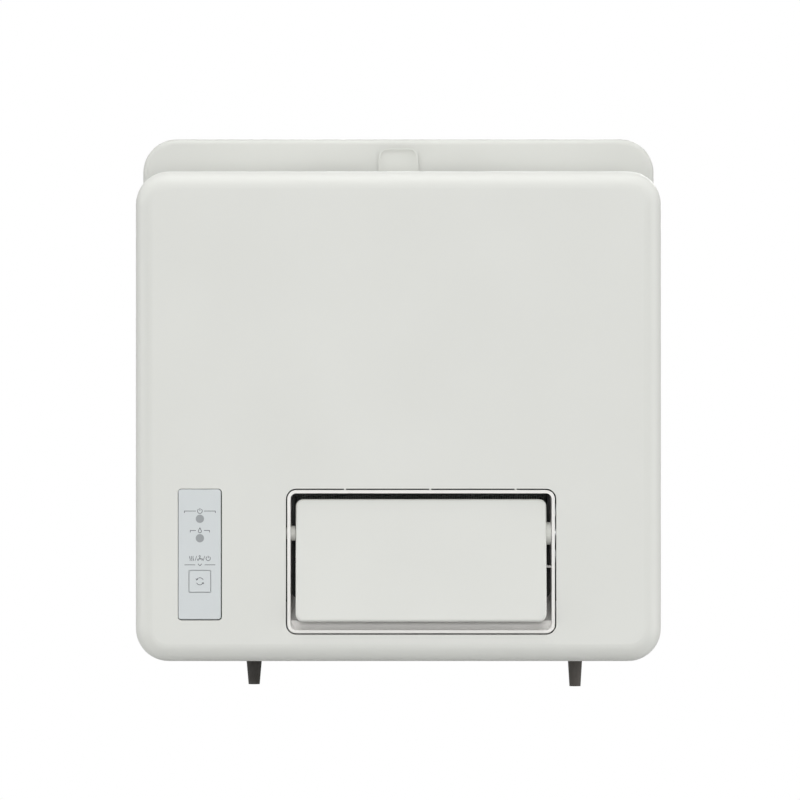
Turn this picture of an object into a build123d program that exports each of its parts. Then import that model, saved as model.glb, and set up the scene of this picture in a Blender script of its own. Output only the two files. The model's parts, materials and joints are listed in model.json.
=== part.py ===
from build123d import *
import os
from math import cos, hypot, radians, sin

# Window bathroom heater. The origin is the centre of the round hole in the window, on the
# indoor face of the glass. Y runs from the room (minus) to outdoors (plus), X to the right
# as seen from the room, Z up. All sizes are in millimetres.

os.makedirs("parts", exist_ok=True)

# Window and glass
glass_thickness = 6.0
sleeve_wall = 2.5
gasket_thickness = 3.0
gasket_width = 14.0
glass_hole_clearance = 4.0
gasket_setback = 3.0

# Mounting plate
plate_width = 356.0
plate_height = 355.0
plate_depth = 13.0
plate_corner_radius = 23.3
plate_edge_radius = 4.0
plate_wall = 2.5
rim_clearance = 0.5
plate_rib_height = 8.0
plate_rib_thickness = 1.8

# Housing
air_gap = 24.0
body_width = 355.0
body_height = 331.0
body_depth = 106.0
body_drop = 15.4
body_corner_radius = 22.3
front_edge_radius = 12.0
rear_edge_radius = 5.0
shell_wall = 2.5
rear_case_depth = 26.0
tongue_depth = 5.0
tongue_wall = 1.6
tongue_clearance = 0.2
seam_gap = 0.4

# Outlet, its bezel and duct
outlet_shift = 15.3
outlet_height_over_bottom = 67.5
outlet_width = 182.3
outlet_height = 98.4
outlet_corner_radius = 7.0
bezel_seam = 0.9
bezel_wall = 2.2
bezel_ring_depth = 3.0
duct_wall = 1.8
duct_floor_rise = 20.0
rim_wall = 1.8
rim_depth = 4.0
bezel_lug_pitch = 57.5
bezel_lug_shift = 6.2
bezel_lug_width = 1.4

# Outlet flap
flap_side_gap = 3.55
flap_above_axis = 22.4
flap_bottom_gap = 4.7
flap_corner_radius = 5.0
flap_thickness = 6.0
flap_wall = 1.8
flap_edge_radius = 1.6
flap_axis_depth = 12.0
flap_axis_below_mouth = 27.2
flap_rest_angle = 5.0
flap_pin_radius = 2.5
coupling_radius = 7.75
bush_radius = 5.15
bush_neck_radius = 4.0
running_gap = 0.35
cheek_thickness = 2.4
cheek_foot = 23.0
cheek_slope = 65.0
stop_rib_drop = 22.7
stop_rib_thickness = 1.4
stop_rib_setback = 6.0
stop_rib_length = 16.0

# Control panel
panel_from_left = 43.7
panel_height_over_bottom = 72.3
panel_width = 29.7
panel_height = 88.8
panel_corner_radius = 2.5
panel_seam = 0.5
panel_lean = 0.2
panel_thickness = 3.0
lens_radius = 2.8
lens_pitch = 13.1
lens_rise = 17.6
button_width = 14.2
button_height = 14.4
button_gap = 0.5
button_drop = 18.0
button_travel = 0.6
board_setback = 14.0
board_thickness = 1.6
key_width = 6.0
key_height = 4.0

# Fan
impeller_radius = 65.0
blade_length = 10.0
blade_count = 36
blade_thickness = 1.2
blade_curve_radius = 10.2
blade_sweep = 70.0
blade_span = 36.0
wheel_disc = 2.0
wheel_gap = 2.0
hub_radius = 12.0
hub_length = 20.0
hub_taper = 4.0
shaft_radius = 4.0
shaft_chamfer = 0.5
volute_radius = 76.0
volute_step = 8.0
volute_end_angle = 62.0
tongue_nose_radius = 4.0
casing_wall = 2.0
casing_depth = 51.5
casing_gap = 1.7
inlet_throat_radius = 51.0
inlet_flare = 6.0
inlet_ring_wall = 1.6

# Air chamber, port and damper
chamber_margin = 1.5
chamber_sump = 6.0
chamber_corner_radius = 8.0
chamber_under_volute = 25.1
port_width = 108.0
port_height = 48.0
port_corner_radius = 6.0
port_sleeve_gap = 3.0
duct_tube_wall = 2.0
neck_flange = 6.0
neck_gasket_thickness = 2.0
damper_thickness = 2.5
damper_shaft_radius = 3.0
damper_side_gap = 2.0
damper_setback = 7.5
damper_margin = 3.0
seal_thickness = 2.4
seat_gap = 0.35
damper_angle = 36.0
damper_tip_over_heater = 8.0

# Heater
heater_lip = 2.0
heater_depth = 12.0
heater_clearance = 0.4
heater_flange = 4.0
heater_flange_thickness = 4.0
heater_frame_wall = 2.4
heater_rows = 3
bar_height = 3.0
fin_pitch = 2.0
fin_thickness = 0.4
fin_depth = 11.0
cutout_radius = 8.0
cutout_height = 8.0
cutout_ear = 2.0
cutout_ear_span = 27.0

# Motors
motor_radius = 42.0
motor_length = 38.0
motor_plate_thickness = 1.5
motor_lug_margin = 1.2
stepper_radius = 12.0
stepper_length = 17.0
stepper_offset = 7.0

# Filter
filter_width = 200.0
filter_over_neck = 9.6
filter_thickness = 5.0
filter_gap = 3.0
filter_frame_wall = 8.0
filter_shift = 5.0
filter_rib = 2.0
filter_columns = 5
filter_rows = 4
tab_width = 27.4
tab_height = 20.3
tab_corner_radius = 6.0
tab_rim = 1.2
rail_thickness = 2.0
rail_lip = 5.0
rail_clearance = 0.4

# Hooks, spacers and screws
hook_spread = 280.0
hook_height = 110.0
hook_width = 18.0
hook_sheet = 2.5
hook_tip = 14.0
slot_play = 1.5
spacer_drop = 132.0
spacer_radius = 8.0
screw_radius = 2.0
screw_head_radius = 3.8
screw_head_height = 2.4
screw_head_chamfer = 0.9
cover_screw_spread = 240.0
cover_tab_width = 20.0
cover_tab_length = 25.0

# Cord boots under the housing
supply_boot_from_left = 77.9
signal_boot_from_right = 55.6
supply_boot_radius = 5.4
signal_boot_radius = 5.0
boot_end_radius = 3.85
supply_boot_length = 19.6
signal_boot_length = 21.0
boot_flange = 2.0
boot_flange_radius = 7.6
supply_bore_radius = 2.9
signal_bore_radius = 2.2

# Electrical parts
box_width = 74.0
box_height = 150.0
box_depth = 22.0
box_wall = 1.6
box_rise = 5.0
board_post_height = 4.0
board_post_radius = 3.2
board_post_inset = 8.0
board_clearance = 1.6
relay_width = 16.0
relay_height = 20.0
relay_depth = 14.0
relay_pitch = 28.0
relay_count = 4
smoothing_radius = 6.0
smoothing_pitch = 18.0
smoothing_count = 3
terminal_width = 36.0
terminal_height = 14.0
terminal_depth = 16.0
terminal_hole_radius = 3.0
terminal_hole_depth = 5.0
capacitor_width = 34.0
capacitor_height = 46.0
capacitor_depth = 20.0

# Outdoor part
outer_plate_margin = 3.0
outer_plate_thickness = 3.0
outer_plate_corner = 28.0
clamp_boss_radius = 5.0
clamp_boss_gap = 3.5
sleeve_end_gap = 1.5
spigot_clearance = 0.5
shutter_depth = 14.0
shutter_border = 8.0
slat_count = 3
slat_thickness = 1.5
slat_knuckle_radius = 1.6
slat_pin_radius = 1.2
slat_gap = 0.8
slat_side_gap = 0.6
slat_tip_gap = 0.4
hood_side_setback = 3.0
hood_end_setback = 5.0
hood_depth = 83.0
hood_wall = 2.0
hood_flange = 9.0
hood_nose_radius = 55.0
hood_edge_radius = 14.0
guard_slot = 8.0
guard_bar = 4.0

# Places along Y, from outdoors to the room
plate_back_y = -gasket_thickness
plate_front_y = plate_back_y - plate_depth
body_back_y = plate_front_y - air_gap
body_front_y = body_back_y - body_depth
seam_y = body_back_y - rear_case_depth
case_floor_y = body_back_y - shell_wall
cover_inside_y = body_front_y + shell_wall
casing_front_y = case_floor_y - casing_depth
outer_plate_y = glass_thickness + gasket_thickness
shutter_y = outer_plate_y + outer_plate_thickness

# Places along Z and X
body_bottom = -body_drop - body_height / 2
body_top = body_bottom + body_height
body_left = -body_width / 2
outlet_z = body_bottom + outlet_height_over_bottom
bezel_width = outlet_width - 2 * bezel_seam
bezel_height = outlet_height - 2 * bezel_seam
bezel_corner = outlet_corner_radius - bezel_seam
mouth_width = bezel_width - 2 * bezel_wall
mouth_height = bezel_height - 2 * bezel_wall
mouth_corner = bezel_corner - bezel_wall
mouth_top = outlet_z + mouth_height / 2
mouth_bottom = outlet_z - mouth_height / 2
duct_top = mouth_top
duct_bottom = mouth_bottom + duct_floor_rise
flap_axis_y = body_front_y + flap_axis_depth
flap_axis_z = mouth_top - flap_axis_below_mouth
flap_width = mouth_width - 2 * flap_side_gap
flap_below_axis = mouth_height - flap_axis_below_mouth - flap_bottom_gap
panel_x = body_left + panel_from_left
panel_z = body_bottom + panel_height_over_bottom
heater_flange_y = casing_front_y - heater_flange_thickness
heater_z = (duct_top + duct_bottom) / 2
window_width = mouth_width - 2 * heater_lip
window_height = duct_top - duct_bottom - 2 * heater_lip
heater_width = window_width + 2 * heater_frame_wall
heater_height = window_height + 2 * heater_frame_wall
heater_back_y = casing_front_y + heater_depth
# The damper swings between the heater and the port, and the sleeve holds the port's tube
damper_length = port_height + 2 * damper_margin + damper_shaft_radius
damper_tip_z = heater_z + heater_height / 2 + damper_tip_over_heater
damper_axis_z = damper_tip_z - damper_length * cos(radians(damper_angle))
port_bottom = damper_axis_z + damper_shaft_radius + damper_margin
port_top = port_bottom + port_height
port_z = (port_bottom + port_top) / 2
tube_reach = hypot(port_width / 2 + duct_tube_wall, port_bottom - duct_tube_wall)
sleeve_radius = tube_reach + port_sleeve_gap + sleeve_wall
hood_width = 2 * (sleeve_radius - hood_side_setback)
hood_height = 2 * (sleeve_radius - hood_end_setback)
chamber_width = heater_width + 2 * chamber_margin
chamber_left = outlet_shift - chamber_width / 2
chamber_right = outlet_shift + chamber_width / 2
chamber_bottom = heater_z - heater_height / 2 - chamber_sump
tongue_inset = shell_wall + tongue_clearance
casing_top = body_top - tongue_inset - tongue_wall - casing_gap
volute_reach_up = volute_radius + volute_step + volute_step / 2
volute_reach_right = volute_radius + 2 * volute_step + volute_step / 2
fan_z = casing_top - casing_wall - volute_reach_up
fan_x = chamber_right - volute_reach_right
chamber_top = fan_z + volute_step / 2 - volute_radius - chamber_under_volute
filter_bottom = port_top + duct_tube_wall + neck_flange + filter_over_neck + rail_thickness
filter_height = body_top - filter_bottom
damper_axis_y = case_floor_y - damper_setback
seat_y = damper_axis_y + damper_thickness / 2 + seal_thickness + seat_gap
supply_boot_x = body_left + supply_boot_from_left
signal_boot_x = -body_left - signal_boot_from_right
boot_y = (seam_y + tongue_depth + case_floor_y - rear_edge_radius + shell_wall) / 2
cover_screw_y = seam_y + tongue_depth - cover_tab_length + cover_tab_width / 2


def facing_room(y):
    """Plane square to Y at depth y, seen from the room: X to the right, Z up."""
    return Plane.XZ.offset(-y)


def facing_right(x):
    """Plane square to X, seen from the right: Y to the right, Z up."""
    return Plane.YZ.offset(x)


def ring_of_places(centre_x, centre_z, radius, count, start=45.0):
    """Points at equal angles on a circle."""
    return [
        (
            centre_x + radius * cos(radians(start + 360 * i / count)),
            centre_z + radius * sin(radians(start + 360 * i / count)),
        )
        for i in range(count)
    ]


def screws(plane, places, length):
    """Pan-head screws: heads stand on the plane at these places, shanks go in behind it."""
    with BuildPart() as group:
        with BuildSketch(plane):
            with Locations(*places):
                Circle(screw_head_radius)
        extrude(amount=screw_head_height)
        head_rims = group.edges().filter_by(GeomType.CIRCLE).group_by(Axis(plane.origin, plane.z_dir))[-1]
        chamfer(head_rims, length=screw_head_chamfer)
        with BuildSketch(plane):
            with Locations(*places):
                Circle(screw_radius)
        extrude(amount=-length)
    return group


def port_outline(growth):
    """Rounded outline of the exhaust port, larger all round by this much."""
    with BuildSketch() as outline:
        RectangleRounded(port_width + 2 * growth, port_height + 2 * growth, port_corner_radius + growth)
    return outline.sketch


# Front cover: a moulded shell with soft front edges, cut out for the outlet and the panel
with BuildPart() as front_cover:
    with BuildSketch(facing_room(seam_y)):
        with Locations((0, -body_drop)):
            RectangleRounded(body_width, body_height, body_corner_radius)
    extrude(amount=seam_y - body_front_y)
    fillet(front_cover.faces().sort_by(Axis.Y)[0].edges(), radius=front_edge_radius)
    offset(amount=-shell_wall, openings=front_cover.faces().sort_by(Axis.Y)[-1])
    with BuildSketch(facing_room(cover_inside_y + rim_depth)):
        with Locations((outlet_shift, outlet_z)):
            RectangleRounded(
                outlet_width + 2 * rim_wall, outlet_height + 2 * rim_wall, outlet_corner_radius + rim_wall
            )
        with Locations((panel_x, panel_z)):
            RectangleRounded(
                panel_width + 2 * rim_wall, panel_height + 2 * rim_wall, panel_corner_radius + rim_wall
            )
    extrude(amount=rim_depth)
    with BuildSketch(facing_room(cover_inside_y + rim_depth)):
        with Locations((outlet_shift, outlet_z)):
            RectangleRounded(outlet_width, outlet_height, outlet_corner_radius)
        with Locations((panel_x, panel_z)):
            RectangleRounded(panel_width, panel_height, panel_corner_radius)
    extrude(amount=rim_depth + shell_wall, mode=Mode.SUBTRACT)
    with BuildSketch(Plane.XY.offset(body_bottom)):
        with Locations((0, cover_screw_y)):
            with GridLocations(cover_screw_spread, 1, 2, 1):
                Circle(screw_radius)
    extrude(amount=shell_wall, mode=Mode.SUBTRACT)
front_cover.part.label = "front_cover"
export_step(front_cover.part, "parts/front_cover.step")

# Rear case: back half of the housing, with a tongue that fits inside the cover
with BuildPart() as rear_case:
    with BuildSketch(facing_room(body_back_y)):
        with Locations((0, -body_drop)):
            RectangleRounded(body_width, body_height, body_corner_radius)
    extrude(amount=rear_case_depth - seam_gap)
    fillet(rear_case.faces().sort_by(Axis.Y)[-1].edges(), radius=rear_edge_radius)
    offset(amount=-shell_wall, openings=rear_case.faces().sort_by(Axis.Y)[0])
    with BuildSketch(facing_room(seam_y + tongue_depth)) as tongue_root:
        with Locations((0, -body_drop)):
            RectangleRounded(
                body_width - shell_wall, body_height - shell_wall, body_corner_radius - shell_wall / 2
            )
            RectangleRounded(
                body_width - 2 * (tongue_inset + tongue_wall),
                body_height - 2 * (tongue_inset + tongue_wall),
                body_corner_radius - tongue_inset - tongue_wall,
                mode=Mode.SUBTRACT,
            )
    extrude(amount=tongue_depth)
    with BuildSketch(facing_room(seam_y)) as tongue:
        with Locations((0, -body_drop)):
            RectangleRounded(
                body_width - 2 * tongue_inset,
                body_height - 2 * tongue_inset,
                body_corner_radius - tongue_inset,
            )
            RectangleRounded(
                body_width - 2 * (tongue_inset + tongue_wall),
                body_height - 2 * (tongue_inset + tongue_wall),
                body_corner_radius - tongue_inset - tongue_wall,
                mode=Mode.SUBTRACT,
            )
    extrude(amount=tongue_depth)
    # Two tabs under which the cover is screwed
    with BuildSketch(Plane.XY.offset(body_bottom + tongue_inset)):
        with Locations((0, seam_y + tongue_depth - cover_tab_length / 2)):
            with GridLocations(cover_screw_spread, 1, 2, 1):
                Rectangle(cover_tab_width, cover_tab_length)
    extrude(amount=2 * tongue_wall)
    with BuildSketch(Plane.XY.offset(body_bottom + tongue_inset)):
        with Locations((0, cover_screw_y)):
            with GridLocations(cover_screw_spread, 1, 2, 1):
                Circle(screw_radius)
    extrude(amount=2 * tongue_wall, mode=Mode.SUBTRACT)
    # Filter rails on the back
    rail_depth = filter_gap + filter_thickness + rail_clearance + rail_thickness
    rail_height = filter_height - rear_edge_radius + rail_thickness
    rest_depth = filter_gap - rail_clearance
    rail_inner = filter_width / 2 + rail_clearance
    rail_middle_y = body_back_y + rail_depth / 2
    rest_spread = (filter_width - filter_frame_wall) / 2
    lip_width = rail_thickness + rail_lip
    lip_spread = rail_inner + rail_thickness - lip_width / 2
    for side in (-1, 1):
        with BuildSketch(Plane.XY.offset(filter_bottom - rail_thickness)):
            with Locations((filter_shift + side * (rail_inner + rail_thickness / 2), rail_middle_y)):
                Rectangle(rail_thickness, rail_depth)
            with Locations((filter_shift + side * rest_spread, body_back_y + rest_depth / 2)):
                Rectangle(rail_thickness, rest_depth)
            lip_middle_y = body_back_y + rail_depth - rail_thickness / 2
            with Locations((filter_shift + side * lip_spread, lip_middle_y)):
                Rectangle(lip_width, rail_thickness)
        extrude(amount=rail_height)
    with BuildSketch(facing_room(body_back_y + rail_depth)):
        with Locations((filter_shift, filter_bottom - rail_thickness / 2)):
            Rectangle(2 * (rail_inner + rail_thickness), rail_thickness)
    extrude(amount=rail_depth)
    # Air inlet, exhaust port, hook slots and lock screw holes through the back wall
    with BuildSketch(facing_room(body_back_y)):
        with Locations((fan_x, fan_z)):
            Circle(inlet_throat_radius + inlet_flare)
        with Locations((0, port_z)):
            add(port_outline(duct_tube_wall))
        with Locations((0, hook_height - (hook_tip + slot_play) / 2)):
            with GridLocations(hook_spread, 1, 2, 1):
                Rectangle(hook_width + 2 * slot_play, hook_tip + slot_play)
        with Locations((0, -spacer_drop)):
            with GridLocations(hook_spread, 1, 2, 1):
                Circle(screw_radius)
    extrude(amount=shell_wall, mode=Mode.SUBTRACT)
    # Holes for the cord boots
    with BuildSketch(Plane.XY.offset(body_bottom)):
        with Locations((supply_boot_x, boot_y)):
            Circle(supply_boot_radius)
        with Locations((signal_boot_x, boot_y)):
            Circle(signal_boot_radius)
    extrude(amount=shell_wall, mode=Mode.SUBTRACT)
rear_case.part.label = "rear_case"
export_step(rear_case.part, "parts/rear_case.step")

# Outlet bezel: the ring seen round the outlet, and the duct behind it down to the heater
duct_start_y = body_front_y + bezel_ring_depth
with BuildPart() as outlet_bezel:
    with BuildSketch(facing_room(duct_start_y)):
        with Locations((outlet_shift, outlet_z)):
            RectangleRounded(bezel_width, bezel_height, bezel_corner)
    extrude(amount=bezel_ring_depth)
    with BuildSketch(facing_room(duct_start_y)):
        with Locations((outlet_shift, outlet_z)):
            RectangleRounded(
                mouth_width + 2 * duct_wall, mouth_height + 2 * duct_wall, mouth_corner + duct_wall
            )
    with BuildSketch(facing_room(heater_flange_y)):
        with Locations((outlet_shift, heater_z)):
            RectangleRounded(
                mouth_width + 2 * duct_wall,
                duct_top - duct_bottom + 2 * duct_wall,
                mouth_corner + duct_wall,
            )
    loft()
    with BuildSketch(facing_room(duct_start_y)):
        with Locations((outlet_shift, outlet_z)):
            RectangleRounded(mouth_width, mouth_height, mouth_corner)
    extrude(amount=bezel_ring_depth, mode=Mode.SUBTRACT)
    with BuildSketch(facing_room(duct_start_y)):
        with Locations((outlet_shift, outlet_z)):
            RectangleRounded(mouth_width, mouth_height, mouth_corner)
    with BuildSketch(facing_room(heater_flange_y)):
        with Locations((outlet_shift, heater_z)):
            RectangleRounded(mouth_width, duct_top - duct_bottom, mouth_corner)
    loft(mode=Mode.SUBTRACT)
    front_rim = outlet_bezel.faces().sort_by(Axis.Y)[0]
    fillet(front_rim.outer_wire().edges(), radius=bezel_wall / 4)
    # Three small lugs that centre the ring in the cover
    with BuildSketch(facing_room(body_front_y + bezel_ring_depth)):
        with Locations((outlet_shift + bezel_lug_shift, outlet_z + bezel_height / 2)):
            with GridLocations(bezel_lug_pitch, 1, 3, 1):
                Rectangle(bezel_lug_width, 2 * bezel_seam)
    extrude(amount=bezel_ring_depth - bezel_wall / 4)
    # Holes for the flap's bush and drive pin, and the rib that stops the flap
    with BuildSketch(facing_right(outlet_shift - mouth_width / 2)):
        with Locations((flap_axis_y, flap_axis_z)):
            Circle(bush_neck_radius)
    extrude(amount=-duct_wall, mode=Mode.SUBTRACT)
    with BuildSketch(facing_right(outlet_shift + mouth_width / 2)):
        with Locations((flap_axis_y, flap_axis_z)):
            Circle(flap_pin_radius + running_gap)
    extrude(amount=duct_wall, mode=Mode.SUBTRACT)
    stop_rib_y = flap_axis_y + stop_rib_setback + stop_rib_length / 2
    with BuildSketch(facing_right(outlet_shift + mouth_width / 2)):
        with Locations((stop_rib_y, flap_axis_z - stop_rib_drop)):
            Rectangle(stop_rib_length, stop_rib_thickness)
    extrude(amount=-(mouth_width - flap_width) / 2 + running_gap)
outlet_bezel.part.label = "outlet_bezel"
export_step(outlet_bezel.part, "parts/outlet_bezel.step")


def stepper(x, direction, axis_y, axis_z):
    """Small can motor square to X with its shaft off centre and two ears to screw it down."""
    with BuildPart() as motor:
        with BuildSketch(facing_right(x)):
            with Locations((axis_y + stepper_offset, axis_z)):
                Circle(stepper_radius)
        extrude(amount=direction * stepper_length)
        with BuildSketch(facing_right(x)):
            with Locations((axis_y + stepper_offset, axis_z)):
                SlotOverall(
                    2 * stepper_radius + 4 * screw_head_radius, 2 * screw_head_radius, rotation=90
                )
        extrude(amount=direction * motor_plate_thickness)
        with BuildSketch(facing_right(x)):
            with Locations((axis_y, axis_z)):
                Circle(flap_pin_radius + running_gap)
        extrude(amount=direction * stepper_length / 2, mode=Mode.SUBTRACT)
        with BuildSketch(facing_right(x)):
            with Locations((axis_y + stepper_offset, axis_z)):
                with GridLocations(1, 2 * (stepper_radius + screw_head_radius), 1, 2):
                    Circle(screw_radius / 2)
        extrude(amount=direction * motor_plate_thickness, mode=Mode.SUBTRACT)
    return motor


# Bush in the duct's left wall, around the flap's pin
duct_left = outlet_shift - mouth_width / 2
duct_right = outlet_shift + mouth_width / 2
flap_left = outlet_shift - flap_width / 2
flap_right = outlet_shift + flap_width / 2
with BuildPart() as louver_bush:
    with BuildSketch(facing_right(duct_left)):
        with Locations((flap_axis_y, flap_axis_z)):
            Circle(bush_radius)
    extrude(amount=flap_left - running_gap - duct_left)
    with BuildSketch(facing_right(duct_left)):
        with Locations((flap_axis_y, flap_axis_z)):
            Circle(bush_neck_radius)
    extrude(amount=-2 * duct_wall)
    with BuildSketch(facing_right(duct_left - 2 * duct_wall)):
        with Locations((flap_axis_y, flap_axis_z)):
            Circle(flap_pin_radius + running_gap)
    extrude(amount=2 * duct_wall + flap_left - duct_left, mode=Mode.SUBTRACT)
louver_bush.part.label = "louver_bush"
export_step(louver_bush.part, "parts/louver_bush.step")

# Outlet flap: a hollow-backed plate on two cheeks, at rest a little open
flap_plane = Plane(
    origin=(outlet_shift, flap_axis_y, flap_axis_z), x_dir=(1, 0, 0), z_dir=(0, -1, 0)
).rotated((-flap_rest_angle, 0, 0))
flap_height = flap_above_axis + flap_below_axis
flap_middle = (flap_above_axis - flap_below_axis) / 2
flap_back = flap_axis_depth - flap_thickness


def across_flap(distance):
    """Plane square to the flap's axis: its X runs up the flap, its Y out through the flap."""
    return Plane(
        origin=flap_plane.from_local_coords((distance, 0, 0)),
        x_dir=flap_plane.y_dir,
        z_dir=flap_plane.x_dir,
    )


with BuildPart() as louver_flap:
    with BuildSketch(flap_plane.offset(flap_back)):
        with Locations((0, flap_middle)):
            RectangleRounded(flap_width, flap_height, flap_corner_radius)
    extrude(amount=flap_thickness)
    fillet(louver_flap.faces().sort_by(Axis.Y)[0].edges(), radius=flap_edge_radius)
    with BuildSketch(flap_plane.offset(flap_back)):
        with Locations((0, flap_middle)):
            RectangleRounded(
                flap_width - 2 * flap_wall, flap_height - 2 * flap_wall, flap_corner_radius - flap_wall
            )
    extrude(amount=flap_thickness - flap_wall, mode=Mode.SUBTRACT)
    # Stiffening ribs behind the plate
    with BuildSketch(flap_plane.offset(flap_axis_depth - flap_wall)):
        with Locations((0, flap_middle)):
            with GridLocations(flap_width / 4, 1, 3, 1):
                Rectangle(flap_wall, flap_height - 2 * flap_wall)
            with GridLocations(1, flap_height / 3, 1, 2):
                Rectangle(flap_width - 2 * flap_wall, flap_wall)
    extrude(amount=-(flap_thickness - 2 * flap_wall))
    # Cheeks that reach back to the axis
    for side in (-1, 1):
        with BuildSketch(across_flap(side * (flap_width - cheek_thickness) / 2 - cheek_thickness / 2)):
            Circle(coupling_radius)
            with Locations((0, flap_back)):
                Trapezoid(cheek_foot, 2 * flap_back - coupling_radius, cheek_slope, rotation=180)
        extrude(amount=cheek_thickness)
    # Coupling boss at the right, pins at both ends
    with BuildSketch(across_flap(flap_width / 2)):
        Circle(coupling_radius)
    extrude(amount=duct_right - flap_right - running_gap)
    with BuildSketch(across_flap(flap_width / 2)):
        Circle(flap_pin_radius)
    extrude(amount=duct_right - flap_right + duct_wall + stepper_length / 3)
    with BuildSketch(across_flap(-flap_width / 2)):
        Circle(flap_pin_radius)
    extrude(amount=-(flap_left - duct_left + 2 * duct_wall))
louver_flap.part.label = "louver_flap"
export_step(louver_flap.part, "parts/louver_flap.step")

louver_motor = stepper(duct_right + duct_wall, 1, flap_axis_y, flap_axis_z)
louver_motor.part.label = "louver_motor"
export_step(louver_motor.part, "parts/louver_motor.step")

# Control panel: a shallow tray, open to the back, with holes for the lenses and the button
board_y = body_front_y + board_setback
button_z = panel_z - button_drop
hole_width = button_width + 2 * button_gap
hole_height = button_height + 2 * button_gap
face_width = panel_width - 2 * panel_seam
face_height = panel_height - 2 * panel_seam
face_corner = panel_corner_radius - panel_seam
face_x = panel_x - panel_lean
face_z = panel_z + panel_lean
with BuildPart() as control_panel:
    with BuildSketch(facing_room(board_y)):
        with Locations((face_x, face_z)):
            RectangleRounded(face_width, face_height, face_corner)
    extrude(amount=board_setback)
    fillet(control_panel.faces().sort_by(Axis.Y)[0].edges(), radius=panel_seam)
    with BuildSketch(facing_room(board_y)):
        with Locations((face_x, face_z)):
            RectangleRounded(face_width - panel_thickness, face_height - panel_thickness, face_corner / 2)
    extrude(amount=board_setback - panel_thickness, mode=Mode.SUBTRACT)
    with BuildSketch(facing_room(board_y)):
        with Locations((panel_x, button_z)):
            RectangleRounded(hole_width, hole_height, 2 * button_gap)
        with Locations((panel_x, panel_z + lens_rise)):
            with GridLocations(1, lens_pitch, 1, 2):
                Circle(lens_radius)
    extrude(amount=board_setback, mode=Mode.SUBTRACT)
control_panel.part.label = "control_panel"
export_step(control_panel.part, "parts/control_panel.step")

with BuildPart() as indicator_lenses:
    with BuildSketch(facing_room(board_y)):
        with Locations((panel_x, panel_z + lens_rise)):
            with GridLocations(1, lens_pitch, 1, 2):
                Circle(lens_radius)
    extrude(amount=board_setback)
indicator_lenses.part.label = "indicator_lenses"
export_step(indicator_lenses.part, "parts/indicator_lenses.step")

# Push button: cap, retaining lip behind the panel and a stem over the key switch
panel_back_y = body_front_y + panel_thickness
stem_end_y = board_y - key_height - button_travel - button_gap / 2
with BuildPart() as mode_button:
    with BuildSketch(facing_room(panel_back_y)):
        with Locations((panel_x, button_z)):
            RectangleRounded(button_width, button_height, button_gap)
    extrude(amount=panel_thickness)
    fillet(mode_button.faces().sort_by(Axis.Y)[0].edges(), radius=button_gap / 2)
    with BuildSketch(facing_room(panel_back_y)):
        with Locations((panel_x, button_z)):
            RectangleRounded(hole_width + 4 * button_gap, hole_height + 4 * button_gap, button_gap)
    extrude(amount=-2 * button_gap)
    with BuildSketch(facing_room(panel_back_y)):
        with Locations((panel_x, button_z)):
            Circle(screw_radius)
    extrude(amount=panel_back_y - stem_end_y)
mode_button.part.label = "mode_button"
export_step(mode_button.part, "parts/mode_button.step")

with BuildPart() as control_board:
    with BuildSketch(facing_room(board_y + board_thickness)):
        with Locations((panel_x, panel_z)):
            Rectangle(face_width, face_height)
    extrude(amount=board_thickness)
    with BuildSketch(facing_room(board_y)):
        with Locations((panel_x, button_z)):
            Rectangle(key_width, key_width)
    extrude(amount=key_height)
control_board.part.label = "control_board"
export_step(control_board.part, "parts/control_board.step")

# Fan casing: volute, diffuser and air chamber in one moulding, open towards the rear case.
# The volute is drawn with three quarter arcs about the corners of a small square, so it
# widens by one step a quarter turn from the tongue round to the discharge.
half_step = volute_step / 2
first_centre = (fan_x - half_step, fan_z + half_step)
second_centre = (fan_x + half_step, fan_z + half_step)
third_centre = (fan_x + half_step, fan_z - half_step)
tongue_angle = radians(-volute_end_angle)
tongue_outward = (cos(tongue_angle), sin(tongue_angle))
nose_centre = (
    first_centre[0] + (volute_radius + tongue_nose_radius) * tongue_outward[0],
    first_centre[1] + (volute_radius + tongue_nose_radius) * tongue_outward[1],
)
nose_end = (
    nose_centre[0] + tongue_nose_radius * tongue_outward[0],
    nose_centre[1] + tongue_nose_radius * tongue_outward[1],
)
volute_left = (first_centre[0] - volute_radius, first_centre[1])
volute_right = (third_centre[0] + volute_radius + 2 * volute_step, third_centre[1])
with BuildSketch(facing_room(case_floor_y)) as air_space:
    with BuildLine():
        CenterArc(third_centre, volute_radius + 2 * volute_step, 0, 90)
        CenterArc(second_centre, volute_radius + volute_step, 90, 90)
        CenterArc(first_centre, volute_radius, 180, 180 - volute_end_angle)
        CenterArc(nose_centre, tongue_nose_radius, 180 - volute_end_angle, -180)
        Line(nose_end, (chamber_left, chamber_top))
        FilletPolyline(
            (chamber_left, chamber_top),
            (chamber_left, chamber_bottom),
            (chamber_right, chamber_bottom),
            volute_right,
            radius=chamber_corner_radius,
        )
    make_face()

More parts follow.
